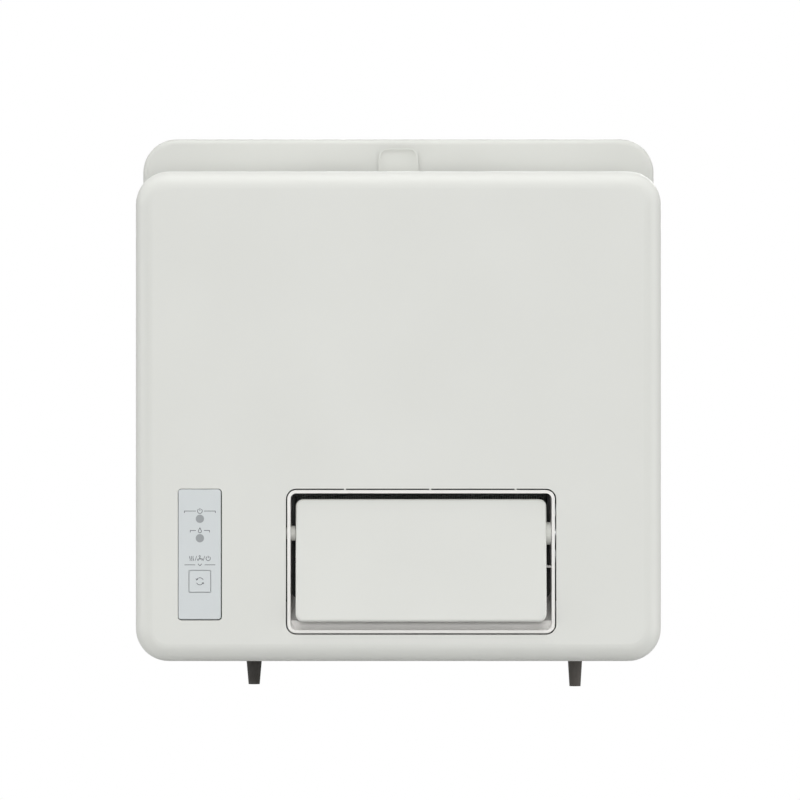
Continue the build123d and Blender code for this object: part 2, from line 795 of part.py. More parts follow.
lug_radius = screw_head_radius + motor_lug_margin
motor_bolt_radius = motor_radius + lug_radius
damper_tip_y = damper_axis_y - damper_length * sin(radians(damper_angle))
with BuildPart() as fan_casing:
    with BuildSketch(facing_room(case_floor_y)):
        add(offset(air_space.sketch, casing_wall, mode=Mode.PRIVATE))
    extrude(amount=casing_depth)
    air = extrude(air_space.sketch, amount=casing_depth - casing_wall, mode=Mode.PRIVATE)
    add(air, mode=Mode.SUBTRACT)
    # Rib on which the damper's edge comes to rest when it closes off the heater
    with BuildSketch(facing_room(damper_tip_y - seat_gap)):
        with Locations((outlet_shift, damper_tip_z + damper_thickness + casing_wall / 2)):
            Rectangle(chamber_width, casing_wall)
    extrude(amount=damper_tip_y - seat_gap - casing_front_y)
    # Opening for the heater, hole and screw holes for the motor
    with BuildSketch(facing_room(casing_front_y + casing_wall)):
        with Locations((outlet_shift, heater_z)):
            Rectangle(heater_width + 2 * heater_clearance, heater_height + 2 * heater_clearance)
        with Locations((fan_x, fan_z)):
            Circle(2 * hub_radius)
            with PolarLocations(motor_bolt_radius, 4, start_angle=45):
                Circle(screw_radius)
    extrude(amount=casing_wall, mode=Mode.SUBTRACT)
    # Bearing holes for the damper's shaft
    with BuildSketch(facing_right(chamber_left - casing_wall)):
        with Locations((damper_axis_y, damper_axis_z)):
            Circle(damper_shaft_radius + running_gap)
    extrude(amount=chamber_width + 2 * casing_wall, mode=Mode.SUBTRACT)
fan_casing.part.label = "fan_casing"
export_step(fan_casing.part, "parts/fan_casing.step")

# Bell mouth that leads the air from the back wall into the wheel
with BuildPart() as inlet_ring:
    with BuildSketch(Plane.YZ.offset(fan_x)):
        with BuildLine():
            mouth_radius = inlet_throat_radius + inlet_flare
            throat_y = case_floor_y - inlet_flare
            lip_y = throat_y - inlet_ring_wall
            Polyline(
                (lip_y, fan_z + inlet_throat_radius),
                (throat_y, fan_z + inlet_throat_radius),
            )
            RadiusArc(
                (throat_y, fan_z + inlet_throat_radius),
                (case_floor_y, fan_z + mouth_radius),
                -inlet_flare,
            )
            Polyline(
                (case_floor_y, fan_z + mouth_radius),
                (case_floor_y, fan_z + mouth_radius + 2 * inlet_flare),
                (case_floor_y - inlet_ring_wall, fan_z + mouth_radius + 2 * inlet_flare),
                (case_floor_y - inlet_ring_wall, fan_z + mouth_radius),
            )
            RadiusArc(
                (case_floor_y - inlet_ring_wall, fan_z + mouth_radius),
                (throat_y, fan_z + inlet_throat_radius + inlet_ring_wall),
                inlet_flare - inlet_ring_wall,
            )
            Polyline(
                (throat_y, fan_z + inlet_throat_radius + inlet_ring_wall),
                (lip_y, fan_z + inlet_throat_radius + inlet_ring_wall),
                (lip_y, fan_z + inlet_throat_radius),
            )
        make_face()
    revolve(axis=Axis((fan_x, 0, fan_z), (0, 1, 0)))
inlet_ring.part.label = "inlet_ring"
export_step(inlet_ring.part, "parts/inlet_ring.step")

# Sirocco wheel: forward-curved blades between a disc at the motor and a ring at the inlet
wheel_front_y = casing_front_y + casing_wall + wheel_gap
disc_back_y = wheel_front_y + wheel_disc
ring_y = disc_back_y + blade_span
blade_root = impeller_radius - blade_length
blade_centre = (blade_root, -blade_curve_radius)
with BuildSketch() as blade:
    with BuildLine():
        convex = CenterArc(blade_centre, blade_curve_radius + blade_thickness / 2, 90, -blade_sweep)
        concave = CenterArc(blade_centre, blade_curve_radius - blade_thickness / 2, 90, -blade_sweep)
        Line(convex @ 0, concave @ 0)
        Line(convex @ 1, concave @ 1)
    make_face()

with BuildPart() as impeller:
    with BuildSketch(facing_room(disc_back_y)):
        with Locations((fan_x, fan_z)):
            Circle(impeller_radius)
    extrude(amount=wheel_disc)
    with BuildSketch(facing_room(wheel_front_y + hub_length)):
        with Locations((fan_x, fan_z)):
            Circle(hub_radius)
    extrude(amount=hub_length, taper=-hub_taper)
    with BuildSketch(facing_room(ring_y)):
        with Locations((fan_x, fan_z)):
            with PolarLocations(0, blade_count):
                add(blade.sketch)
    extrude(amount=blade_span)
    with BuildSketch(facing_room(ring_y)):
        with Locations((fan_x, fan_z)):
            Circle(impeller_radius)
            Circle(blade_root, mode=Mode.SUBTRACT)
    extrude(amount=-wheel_disc)
    with BuildSketch(facing_room(wheel_front_y + hub_length)):
        with Locations((fan_x, fan_z)):
            Circle(shaft_radius)
    extrude(amount=2 * hub_length, mode=Mode.SUBTRACT)
impeller.part.label = "impeller"
export_step(impeller.part, "parts/impeller.step")

# Fan motor on its plate, its shaft and screws
motor_face_y = casing_front_y - motor_plate_thickness
motor_bolts = ring_of_places(fan_x, fan_z, motor_bolt_radius, 4)
with BuildPart() as motor_plate:
    with BuildSketch(facing_room(casing_front_y)):
        with Locations((fan_x, fan_z)):
            Circle(motor_radius)
            with PolarLocations(motor_bolt_radius, 4, start_angle=45):
                Circle(lug_radius)
            with PolarLocations(motor_bolt_radius - lug_radius, 4, start_angle=45):
                Rectangle(2 * lug_radius, 2 * lug_radius)
            Circle(2 * hub_radius, mode=Mode.SUBTRACT)
            with PolarLocations(motor_bolt_radius, 4, start_angle=45):
                Circle(screw_radius, mode=Mode.SUBTRACT)
    extrude(amount=motor_plate_thickness)
motor_plate.part.label = "motor_plate"
export_step(motor_plate.part, "parts/motor_plate.step")

shaft_bore_depth = motor_length / 2
with BuildPart() as fan_motor:
    with BuildSketch(facing_room(motor_face_y)):
        with Locations((fan_x, fan_z)):
            Circle(motor_radius - screw_head_radius)
    extrude(amount=motor_length)
    with BuildSketch(facing_room(motor_face_y - motor_length / 3)):
        with Locations((fan_x, fan_z)):
            Circle(motor_radius)
    extrude(amount=motor_length / 3)
    fillet(fan_motor.faces().sort_by(Axis.Y)[0].edges(), radius=motor_length / 5)
    with BuildSketch(facing_room(motor_face_y - motor_length + motor_plate_thickness)):
        with Locations((fan_x, fan_z)):
            Circle(hub_radius)
    extrude(amount=2 * motor_plate_thickness)
    with BuildSketch(facing_room(motor_face_y)):
        with Locations((fan_x, fan_z)):
            Circle(shaft_radius + running_gap)
    extrude(amount=shaft_bore_depth, mode=Mode.SUBTRACT)
fan_motor.part.label = "fan_motor"
export_step(fan_motor.part, "parts/fan_motor.step")

with BuildPart() as motor_shaft:
    with BuildSketch(facing_room(wheel_front_y + hub_length)):
        with Locations((fan_x, fan_z)):
            Circle(shaft_radius)
    extrude(amount=wheel_front_y + hub_length - motor_face_y + shaft_bore_depth - running_gap)
    chamfer(motor_shaft.edges(), length=shaft_chamfer)
motor_shaft.part.label = "motor_shaft"
export_step(motor_shaft.part, "parts/motor_shaft.step")

motor_screws = screws(facing_room(motor_face_y), motor_bolts, motor_plate_thickness + casing_wall)
motor_screws.part.label = "motor_screws"
export_step(motor_screws.part, "parts/motor_screws.step")

# Heater: frame, crosswise bars and folded fin strips between them
with BuildPart() as heater_frame:
    with BuildSketch(facing_room(heater_back_y)):
        with Locations((outlet_shift, heater_z)):
            Rectangle(heater_width, heater_height)
    extrude(amount=heater_back_y - heater_flange_y)
    with BuildSketch(facing_room(casing_front_y)):
        with Locations((outlet_shift, heater_z)):
            RectangleRounded(
                heater_width + 2 * heater_flange, heater_height + 2 * heater_flange, heater_flange
            )
    extrude(amount=heater_flange_thickness)
    with BuildSketch(facing_room(heater_back_y)):
        with Locations((outlet_shift, heater_z)):
            Rectangle(window_width, window_height)
    extrude(amount=heater_back_y - heater_flange_y, mode=Mode.SUBTRACT)
heater_frame.part.label = "heater_frame"
export_step(heater_frame.part, "parts/heater_frame.step")

fin_back_y = (heater_back_y + heater_flange_y + fin_depth) / 2
row_height = (window_height - (heater_rows + 1) * bar_height) / heater_rows
row_pitch = row_height + bar_height
with BuildPart() as heater_bars:
    with BuildSketch(facing_room(fin_back_y)):
        with Locations((outlet_shift, heater_z)):
            with GridLocations(1, row_pitch, 1, heater_rows + 1):
                Rectangle(window_width, bar_height)
    extrude(amount=fin_depth)
heater_bars.part.label = "heater_bars"
export_step(heater_bars.part, "parts/heater_bars.step")


def fin_outline(width, height):
    """Outline of a strip folded back and forth between two bars, wall by wall."""
    walls = int((width - fin_thickness) / fin_pitch) + 1
    first = -(walls - 1) * fin_pitch / 2
    half = fin_thickness / 2
    low = -height / 2
    high = height / 2
    upper_side = []
    lower_side = []
    for wall in range(walls):
        x = first + wall * fin_pitch
        if wall % 2 == 0:
            upper_side += [(x - half, low + fin_thickness), (x - half, high)]
            lower_side += [(x + half, low), (x + half, high - fin_thickness)]
        else:
            upper_side += [(x + half, high), (x + half, low + fin_thickness)]
            lower_side += [(x - half, high - fin_thickness), (x - half, low)]
    return upper_side + lower_side[::-1]


with BuildSketch() as fin_strip:
    with BuildLine():
        Polyline(*fin_outline(window_width, row_height), close=True)
    make_face()

with BuildPart() as heater_fins:
    with BuildSketch(facing_room(fin_back_y)):
        with Locations((outlet_shift, heater_z)):
            with GridLocations(1, row_pitch, 1, heater_rows):
                add(fin_strip.sketch)
    extrude(amount=fin_depth)
heater_fins.part.label = "heater_fins"
export_step(heater_fins.part, "parts/heater_fins.step")

# Terminals at the left end of the heater, and the thermal cut-out over it
flange_left = outlet_shift - heater_width / 2 - heater_flange
terminal_block_width = 4 * heater_flange
with BuildPart() as heater_terminals:
    with BuildSketch(facing_room(casing_front_y)):
        with Locations((flange_left - terminal_block_width / 2, heater_z)):
            RectangleRounded(terminal_block_width, heater_height / 2, heater_flange / 2)
    extrude(amount=heater_flange_thickness)
    with BuildSketch(facing_room(heater_flange_y)):
        with Locations((flange_left - terminal_block_width / 2, heater_z)):
            with GridLocations(1, heater_height / 6, 1, 3):
                Rectangle(bar_height * 2, bar_height / 4)
    extrude(amount=terminal_block_width / 2)
heater_terminals.part.label = "heater_terminals"
export_step(heater_terminals.part, "parts/heater_terminals.step")

cutout_z = heater_z + heater_height / 2 + heater_flange + cutout_radius + heater_clearance
with BuildPart() as thermal_cutout:
    with BuildSketch(facing_room(casing_front_y)):
        with Locations((outlet_shift, cutout_z)):
            Circle(cutout_radius)
            SlotOverall(cutout_ear_span, cutout_radius)
    extrude(amount=cutout_ear)
    with BuildSketch(facing_room(casing_front_y - cutout_ear)):
        with Locations((outlet_shift, cutout_z)):
            Circle(cutout_radius)
    extrude(amount=cutout_height)
    fillet(thermal_cutout.faces().sort_by(Axis.Y)[0].edges(), radius=cutout_ear / 2)
thermal_cutout.part.label = "thermal_cutout"
export_step(thermal_cutout.part, "parts/thermal_cutout.step")

# Damper: plate on a shaft across the chamber, with a seal for the port behind it
plate_span = chamber_width - 2 * damper_side_gap
shaft_overhang = casing_wall + stepper_length / 3
with BuildPart() as damper_plate:
    with BuildSketch(facing_room(damper_axis_y + damper_thickness / 2)):
        with Locations((outlet_shift, damper_axis_z + damper_length / 2)):
            Rectangle(plate_span, damper_length)
    extrude(amount=damper_thickness)
    with BuildSketch(facing_room(damper_axis_y - damper_thickness / 2)):
        with Locations((outlet_shift, damper_axis_z + damper_length / 2)):
            with GridLocations(plate_span / 6, 1, 5, 1):
                Rectangle(casing_wall, damper_length / 2)
    extrude(amount=damper_thickness / 2)
    with BuildSketch(facing_right(chamber_left - shaft_overhang)):
        with Locations((damper_axis_y, damper_axis_z)):
            Circle(damper_shaft_radius)
    extrude(amount=chamber_width + shaft_overhang + casing_wall)
damper_plate.part.label = "damper_plate"
export_step(damper_plate.part, "parts/damper_plate.step")

with BuildPart() as damper_seal:
    with BuildSketch(facing_room(seat_y - seat_gap)):
        with Locations((0, port_z)):
            add(port_outline(duct_tube_wall))
    extrude(amount=seal_thickness)
damper_seal.part.label = "damper_seal"
export_step(damper_seal.part, "parts/damper_seal.step")

damper_motor_x = chamber_left - casing_wall
with BuildPart() as damper_motor:
    with BuildSketch(facing_right(damper_motor_x)):
        with Locations((damper_axis_y - stepper_offset, damper_axis_z)):
            Circle(stepper_radius)
            SlotOverall(2 * stepper_radius + 4 * screw_head_radius, 2 * screw_head_radius, rotation=90)
    extrude(amount=-motor_plate_thickness)
    with BuildSketch(facing_right(damper_motor_x)):
        with Locations((damper_axis_y - stepper_offset, damper_axis_z)):
            Circle(stepper_radius)
    extrude(amount=-stepper_length)
    with BuildSketch(facing_right(damper_motor_x)):
        with Locations((damper_axis_y, damper_axis_z)):
            Circle(damper_shaft_radius + running_gap)
    extrude(amount=-stepper_length / 2, mode=Mode.SUBTRACT)
damper_motor.part.label = "damper_motor"
export_step(damper_motor.part, "parts/damper_motor.step")

# Exhaust neck: tube from the damper's seat, through the back wall and across the air gap
neck_end_y = plate_front_y - neck_gasket_thickness
with BuildPart() as exhaust_neck:
    with BuildSketch(facing_room(neck_end_y)):
        with Locations((0, port_z)):
            add(port_outline(duct_tube_wall))
    extrude(amount=neck_end_y - seat_y)
    with BuildSketch(facing_room(body_back_y + duct_tube_wall)):
        with Locations((0, port_z)):
            add(port_outline(duct_tube_wall + neck_flange))
    extrude(amount=duct_tube_wall)
    with BuildSketch(facing_room(neck_end_y)):
        with Locations((0, port_z)):
            add(port_outline(0))
    extrude(amount=neck_end_y - seat_y, mode=Mode.SUBTRACT)
exhaust_neck.part.label = "exhaust_neck"
export_step(exhaust_neck.part, "parts/exhaust_neck.step")

with BuildPart() as neck_gasket:
    with BuildSketch(facing_room(plate_front_y)):
        with Locations((0, port_z)):
            add(port_outline(duct_tube_wall + neck_gasket_thickness))
            add(port_outline(0), mode=Mode.SUBTRACT)
    extrude(amount=neck_gasket_thickness)
neck_gasket.part.label = "neck_gasket"
export_step(neck_gasket.part, "parts/neck_gasket.step")

# Filter that slides up out of the rails, with its pull tab over the housing
filter_back_y = body_back_y + filter_gap + filter_thickness
filter_top = filter_bottom + filter_height
inner_width = filter_width - 2 * filter_frame_wall
inner_height = filter_height - 2 * filter_frame_wall
cell_width = inner_width / filter_columns
cell_height = inner_height / filter_rows
tab_top = filter_top + tab_height
with BuildPart() as filter_frame:
    with BuildSketch(facing_room(filter_back_y)):
        with Locations((filter_shift, filter_bottom + filter_height / 2)):
            RectangleRounded(filter_width, filter_height, tab_corner_radius / 2)
        with Locations((0, tab_top - tab_height)):
            RectangleRounded(tab_width, 2 * tab_height, tab_corner_radius)
    extrude(amount=filter_thickness)
    with BuildSketch(facing_room(filter_back_y)):
        with Locations((filter_shift, filter_bottom + filter_height / 2)):
            with GridLocations(cell_width, cell_height, filter_columns, filter_rows):
                Rectangle(cell_width - filter_rib, cell_height - filter_rib)
    extrude(amount=filter_thickness, mode=Mode.SUBTRACT)
    # Recess for the mesh at the back
    with BuildSketch(facing_room(filter_back_y)):
        with Locations((filter_shift, filter_bottom + filter_height / 2)):
            Rectangle(inner_width, inner_height)
    extrude(amount=filter_rib, mode=Mode.SUBTRACT)
    # Thinner tab face inside a raised rim
    with BuildSketch(facing_room(filter_back_y - filter_thickness)):
        with Locations((0, tab_top - tab_height)):
            RectangleRounded(
                tab_width - 2 * tab_rim, 2 * tab_height - 2 * tab_rim, tab_corner_radius - tab_rim
            )
        with Locations((0, filter_top - tab_height)):
            Rectangle(tab_width, 2 * tab_height, mode=Mode.SUBTRACT)
    extrude(amount=-tab_rim, mode=Mode.SUBTRACT)
filter_frame.part.label = "filter_frame"
export_step(filter_frame.part, "parts/filter_frame.step")

mesh_thickness = 0.6
with BuildPart() as filter_mesh:
    with BuildSketch(facing_room(filter_back_y - filter_rib + mesh_thickness)):
        with Locations((filter_shift, filter_bottom + filter_height / 2)):
            Rectangle(inner_width, inner_height)
    extrude(amount=mesh_thickness)
filter_mesh.part.label = "filter_mesh"
export_step(filter_mesh.part, "parts/filter_mesh.step")

# Mounting plate: a shallow tray over the hole in the glass, with a land for the gasket and
# the spigot that carries the exhaust air out through the window
gasket_inner_radius = sleeve_radius + glass_hole_clearance + gasket_setback
gasket_outer_radius = gasket_inner_radius + gasket_width
outer_plate_size = 2 * (gasket_outer_radius + outer_plate_margin)
plate_floor_y = plate_front_y + plate_wall
spigot_end_y = outer_plate_y + outer_plate_thickness - spigot_clearance
hook_places = [(-hook_spread / 2, hook_height), (hook_spread / 2, hook_height)]
spacer_places = [(-hook_spread / 2, -spacer_drop), (hook_spread / 2, -spacer_drop)]
clamp_radius = sleeve_radius - sleeve_wall - clamp_boss_radius - clamp_boss_gap
clamp_places = ring_of_places(0, 0, clamp_radius, 4)
hook_screw_places = [(x, z + dz) for x, z in hook_places for dz in (hook_tip / 2, -hook_tip / 2)]
with BuildPart() as mounting_plate:
    with BuildSketch(facing_room(-rim_clearance)):
        RectangleRounded(plate_width, plate_height, plate_corner_radius)
    extrude(amount=-rim_clearance - plate_front_y)
    fillet(mounting_plate.faces().sort_by(Axis.Y)[0].edges(), radius=plate_edge_radius)
    offset(amount=-plate_wall, openings=mounting_plate.faces().sort_by(Axis.Y)[-1])
    with BuildSketch(facing_room(plate_floor_y + plate_rib_height)):
        with GridLocations(2 * gasket_inner_radius / 3, 1, 4, 1):
            Rectangle(plate_rib_thickness, plate_height - 2 * plate_edge_radius)
        with GridLocations(1, 2 * gasket_inner_radius / 3, 1, 4):
            Rectangle(plate_width - 2 * plate_edge_radius, plate_rib_thickness)
        Circle(gasket_inner_radius, mode=Mode.SUBTRACT)
    extrude(amount=plate_rib_height)
    with BuildSketch(facing_room(plate_back_y)):
        Circle(gasket_outer_radius)
        Circle(gasket_inner_radius, mode=Mode.SUBTRACT)
    extrude(amount=plate_back_y - plate_floor_y)
    with BuildSketch(facing_room(plate_floor_y + plate_rib_height)):
        with Locations(*(spacer_places + hook_screw_places)):
            Circle(2 * screw_radius)
    extrude(amount=plate_rib_height)
    with BuildSketch(facing_room(spigot_end_y)):
        with Locations((0, port_z)):
            add(port_outline(duct_tube_wall))
    extrude(amount=spigot_end_y - plate_floor_y)
    with BuildSketch(facing_room(spigot_end_y)):
        with Locations((0, port_z)):
            add(port_outline(0))
    extrude(amount=spigot_end_y - plate_front_y, mode=Mode.SUBTRACT)
    with BuildSketch(facing_room(plate_floor_y + plate_rib_height)):
        with Locations(*(spacer_places + hook_screw_places + clamp_places)):
            Circle(screw_radius)
    extrude(amount=plate_rib_height + plate_wall, mode=Mode.SUBTRACT)
mounting_plate.part.label = "mounting_plate"
export_step(mounting_plate.part, "parts/mounting_plate.step")

# Gaskets on both faces of the glass
with BuildPart() as window_gasket:
    with BuildSketch(facing_room(0)):
        Circle(gasket_outer_radius)
        Circle(gasket_inner_radius, mode=Mode.SUBTRACT)
    extrude(amount=gasket_thickness)
window_gasket.part.label = "window_gasket"
export_step(window_gasket.part, "parts/window_gasket.step")

with BuildPart() as outer_gasket:
    with BuildSketch(facing_room(outer_plate_y)):
        Circle(gasket_outer_radius)
        Circle(gasket_inner_radius, mode=Mode.SUBTRACT)
    extrude(amount=gasket_thickness)
outer_gasket.part.label = "outer_gasket"
export_step(outer_gasket.part, "parts/outer_gasket.step")

# Outdoor plate with the sleeve through the glass and bosses for the clamp screws
sleeve_end_y = plate_floor_y + sleeve_end_gap
shutter_width = port_width + 2 * shutter_border
shutter_height = port_height + 2 * shutter_border
hood_screw_places = [
    (side * (hood_width + hood_flange) / 2, level * (hood_height + hood_flange) / 2)
    for side in (-1, 1)
    for level in (-1, 1)
]
with BuildPart() as outer_plate:
    with BuildSketch(facing_room(shutter_y)):
        RectangleRounded(outer_plate_size, outer_plate_size, outer_plate_corner)
    extrude(amount=outer_plate_thickness)
    fillet(outer_plate.faces().sort_by(Axis.Y)[-1].edges(), radius=outer_plate_thickness / 3)
    with BuildSketch(facing_room(outer_plate_y)):
        Circle(sleeve_radius)
        Circle(sleeve_radius - sleeve_wall, mode=Mode.SUBTRACT)
    extrude(amount=outer_plate_y - sleeve_end_y)
    with BuildSketch(facing_room(outer_plate_y)):
        with Locations(*clamp_places):
            Circle(clamp_boss_radius)
    extrude(amount=outer_plate_y - sleeve_end_y)
    with BuildSketch(facing_room(outer_plate_y)):
        with Locations(*clamp_places):
            Circle(screw_radius)
    extrude(amount=outer_plate_y - sleeve_end_y, mode=Mode.SUBTRACT)
    with BuildSketch(facing_room(shutter_y)):
        with Locations((0, port_z)):
            Rectangle(
                port_width + 2 * (duct_tube_wall + spigot_clearance),
                port_height + 2 * (duct_tube_wall + spigot_clearance),
            )
        with Locations(*hood_screw_places):
            Circle(screw_radius)
    extrude(amount=outer_plate_thickness, mode=Mode.SUBTRACT)
outer_plate.part.label = "outer_plate"
export_step(outer_plate.part, "parts/outer_plate.step")

clamp_length = outer_plate_y - plate_front_y - 2 * screw_radius
clamp_screws = screws(facing_room(plate_front_y), clamp_places, clamp_length)
clamp_screws.part.label = "clamp_screws"
export_step(clamp_screws.part, "parts/clamp_screws.step")

# Steel hooks that carry the housing, with their screws
hook_tip_y = case_floor_y - slot_play
with BuildPart() as hanger_hooks:
    for x, z in hook_places:
        with BuildSketch(facing_right(x - hook_width / 2)):
            with BuildLine():
                Polyline(
                    (plate_front_y, z + hook_tip),
                    (plate_front_y, z - hook_tip),
                    (plate_front_y - hook_sheet, z - hook_tip),
                    (plate_front_y - hook_sheet, z - hook_sheet),
                    (hook_tip_y - hook_sheet, z - hook_sheet),
                    (hook_tip_y - hook_sheet, z + hook_tip - hook_sheet),
                    (hook_tip_y, z + hook_tip - hook_sheet),
                    (hook_tip_y, z),
                    (plate_front_y - hook_sheet, z),
                    (plate_front_y - hook_sheet, z + hook_tip),
                    close=True,
                )
            make_face()
        extrude(amount=hook_width)
    with BuildSketch(facing_room(plate_front_y)):
        with Locations(*hook_screw_places):
            Circle(screw_radius)
    extrude(amount=hook_sheet, mode=Mode.SUBTRACT)
hanger_hooks.part.label = "hanger_hooks"
export_step(hanger_hooks.part, "parts/hanger_hooks.step")

boss_hold = plate_wall + plate_rib_height / 2
hook_screws = screws(facing_room(plate_front_y - hook_sheet), hook_screw_places, hook_sheet + boss_hold)
hook_screws.part.label = "hook_screws"
export_step(hook_screws.part, "parts/hook_screws.step")

# Spacers that hold the lower edge of the housing off the plate, and the screws through them
with BuildPart() as lower_spacers:
    with BuildSketch(facing_room(plate_front_y)):
        with Locations(*spacer_places):
            Circle(spacer_radius)
            Circle(screw_radius, mode=Mode.SUBTRACT)
    extrude(amount=air_gap)
lower_spacers.part.label = "lower_spacers"
export_step(lower_spacers.part, "parts/lower_spacers.step")

lock_screws = screws(facing_room(case_floor_y), spacer_places, shell_wall + air_gap + boss_hold)
lock_screws.part.label = "lock_screws"
export_step(lock_screws.part, "parts/lock_screws.step")

cover_screw_places = [(-cover_screw_spread / 2, cover_screw_y), (cover_screw_spread / 2, cover_screw_y)]
with BuildPart() as cover_screws:
    with BuildSketch(Plane.XY.offset(body_bottom)):
        with Locations(*cover_screw_places):
            Circle(screw_head_radius)
    extrude(amount=-screw_head_height / 2)
    with BuildSketch(Plane.XY.offset(body_bottom)):
        with Locations(*cover_screw_places):
            Circle(screw_radius)
    extrude(amount=tongue_inset + 3 * tongue_wall)
cover_screws.part.label = "cover_screws"
export_step(cover_screws.part, "parts/cover_screws.step")


def cord_boot(x, top_radius, end_radius, length, bore_radius):
    """Rubber strain relief: a flange inside the wall, a ribbed taper below it, open for the cord."""
    inner_top = body_bottom + shell_wall + boot_flange
    with BuildPart() as boot:
        with BuildSketch(Plane.XZ.offset(-boot_y)):
            with BuildLine():
                Polyline(
                    (x + bore_radius, inner_top),
                    (x + boot_flange_radius, inner_top),
                    (x + boot_flange_radius, inner_top - boot_flange),
                    (x + top_radius, inner_top - boot_flange),
                    (x + top_radius, body_bottom - boot_flange),
                    (x + end_radius, body_bottom - length),
                    (x + bore_radius, body_bottom - length),
                    close=True,
                )
            make_face()
        revolve(axis=Axis((x, boot_y, 0), (0, 0, 1)))
    return boot


supply_cord_boot = cord_boot(
    supply_boot_x, supply_boot_radius, boot_end_radius, supply_boot_length, supply_bore_radius
)
supply_cord_boot.part.label = "supply_cord_boot"
export_step(supply_cord_boot.part, "parts/supply_cord_boot.step")

signal_cord_boot = cord_boot(
    signal_boot_x, signal_boot_radius, boot_end_radius, signal_boot_length, signal_bore_radius
)
signal_cord_boot.part.label = "signal_cord_boot"
export_step(signal_cord_boot.part, "parts/signal_cord_boot.step")

# Shutter against the wind: a frame on the outdoor plate and slats hung from their top edges
shutter_end_y = shutter_y + shutter_depth
slat_pitch = port_height / slat_count
slat_axis_y = shutter_y + slat_knuckle_radius + running_gap
slat_width = port_width - 2 * slat_side_gap
top_slat_z = port_top - slat_knuckle_radius - slat_gap
with BuildPart() as shutter_frame:
    with BuildSketch(facing_room(shutter_end_y)):
        with Locations((0, port_z)):
            RectangleRounded(shutter_width, shutter_height, port_corner_radius)
            Rectangle(port_width, port_height, mode=Mode.SUBTRACT)
    extrude(amount=shutter_depth)
    with BuildSketch(facing_right(-port_width / 2 - shutter_border / 2)):
        with Locations(*[(slat_axis_y, top_slat_z - i * slat_pitch) for i in range(slat_count)]):
            Circle(slat_pin_radius + running_gap)
    extrude(amount=port_width + shutter_border, mode=Mode.SUBTRACT)
shutter_frame.part.label = "shutter_frame"
export_step(shutter_frame.part, "parts/shutter_frame.step")

for i in range(slat_count):
    slat_axis_z = top_slat_z - i * slat_pitch
    slat_drop = slat_pitch - slat_knuckle_radius - slat_gap - slat_tip_gap
    slat_middle_y = slat_axis_y - slat_knuckle_radius + slat_thickness / 2
    with BuildPart() as shutter_slat:
        with BuildSketch(facing_right(-slat_width / 2)):
            with Locations((slat_axis_y, slat_axis_z)):
                Circle(slat_knuckle_radius)
            with Locations((slat_middle_y, slat_axis_z - slat_drop / 2)):
                Rectangle(slat_thickness, slat_drop)
        extrude(amount=slat_width)
        with BuildSketch(facing_right(-slat_width / 2 - shutter_border / 3)):
            with Locations((slat_axis_y, slat_axis_z)):
                Circle(slat_pin_radius)
        extrude(amount=slat_width + 2 * shutter_border / 3)
    shutter_slat.part.label = f"shutter_slat_{i + 1}"
    export_step(shutter_slat.part, f"parts/shutter_slat_{i + 1}.step")

# Rain hood over the shutter, open below behind a bird guard
hood_bottom = -hood_height / 2
with BuildPart() as outer_hood:
    with BuildSketch(facing_right(-hood_width / 2)):
        with BuildLine():
            Line((shutter_y, hood_bottom), (shutter_y, -hood_bottom))
            Line((shutter_y, -hood_bottom), (shutter_y + hood_depth - hood_nose_radius, -hood_bottom))
            RadiusArc(
                (shutter_y + hood_depth - hood_nose_radius, -hood_bottom),
                (shutter_y + hood_depth, -hood_bottom - hood_nose_radius),
                hood_nose_radius,
            )
            Polyline(
                (shutter_y + hood_depth, -hood_bottom - hood_nose_radius),
                (shutter_y + hood_depth, hood_bottom),
                (shutter_y, hood_bottom),
            )
        make_face()
    extrude(amount=hood_width)
    side_faces = outer_hood.faces().sort_by(Axis.X)
    rounded = [
        edge
        for face in (side_faces[0], side_faces[-1])
        for edge in face.edges()
        if edge.center().Y > shutter_y + hood_wall and edge.center().Z > hood_bottom + hood_wall
    ]
    fillet(rounded, radius=hood_edge_radius)
    open_faces = [outer_hood.faces().sort_by(Axis.Y)[0], outer_hood.faces().sort_by(Axis.Z)[0]]
    offset(amount=-hood_wall, openings=open_faces)
    with BuildSketch(facing_room(shutter_y + hood_wall)):
        RectangleRounded(hood_width + 2 * hood_flange, hood_height + 2 * hood_flange, hood_flange)
        Rectangle(hood_width - 2 * hood_wall, hood_height - 2 * hood_wall, mode=Mode.SUBTRACT)
        with Locations(*hood_screw_places):
            Circle(screw_radius, mode=Mode.SUBTRACT)
    extrude(amount=hood_wall)
outer_hood.part.label = "outer_hood"
export_step(outer_hood.part, "parts/outer_hood.step")

guard_depth = hood_depth - 2 * hood_wall
guard_pitch = guard_slot + guard_bar
with BuildPart() as hood_guard:
    with BuildSketch(Plane.XY.offset(hood_bottom)) as guard_plate:
        with Locations((0, shutter_y + hood_wall + guard_depth / 2)):
            Rectangle(hood_width - 2 * hood_wall, guard_depth)
        fillet(guard_plate.vertices().group_by(Axis.Y)[-1], radius=hood_edge_radius - hood_wall)
        with Locations((0, shutter_y + hood_wall + guard_depth / 2)):
            with GridLocations(guard_pitch, 1, int(hood_width / guard_pitch) - 2, 1):
                SlotOverall(guard_depth - 2 * guard_slot, guard_slot, rotation=90, mode=Mode.SUBTRACT)
    extrude(amount=hood_wall)
hood_guard.part.label = "hood_guard"
export_step(hood_guard.part, "parts/hood_guard.step")

hood_screws = screws(
    facing_room(shutter_y + hood_wall).rotated((180, 0, 0)),
    [(x, -z) for x, z in hood_screw_places],
    hood_wall + outer_plate_thickness,
)
hood_screws.part.label = "hood_screws"
export_step(hood_screws.part, "parts/hood_screws.step")

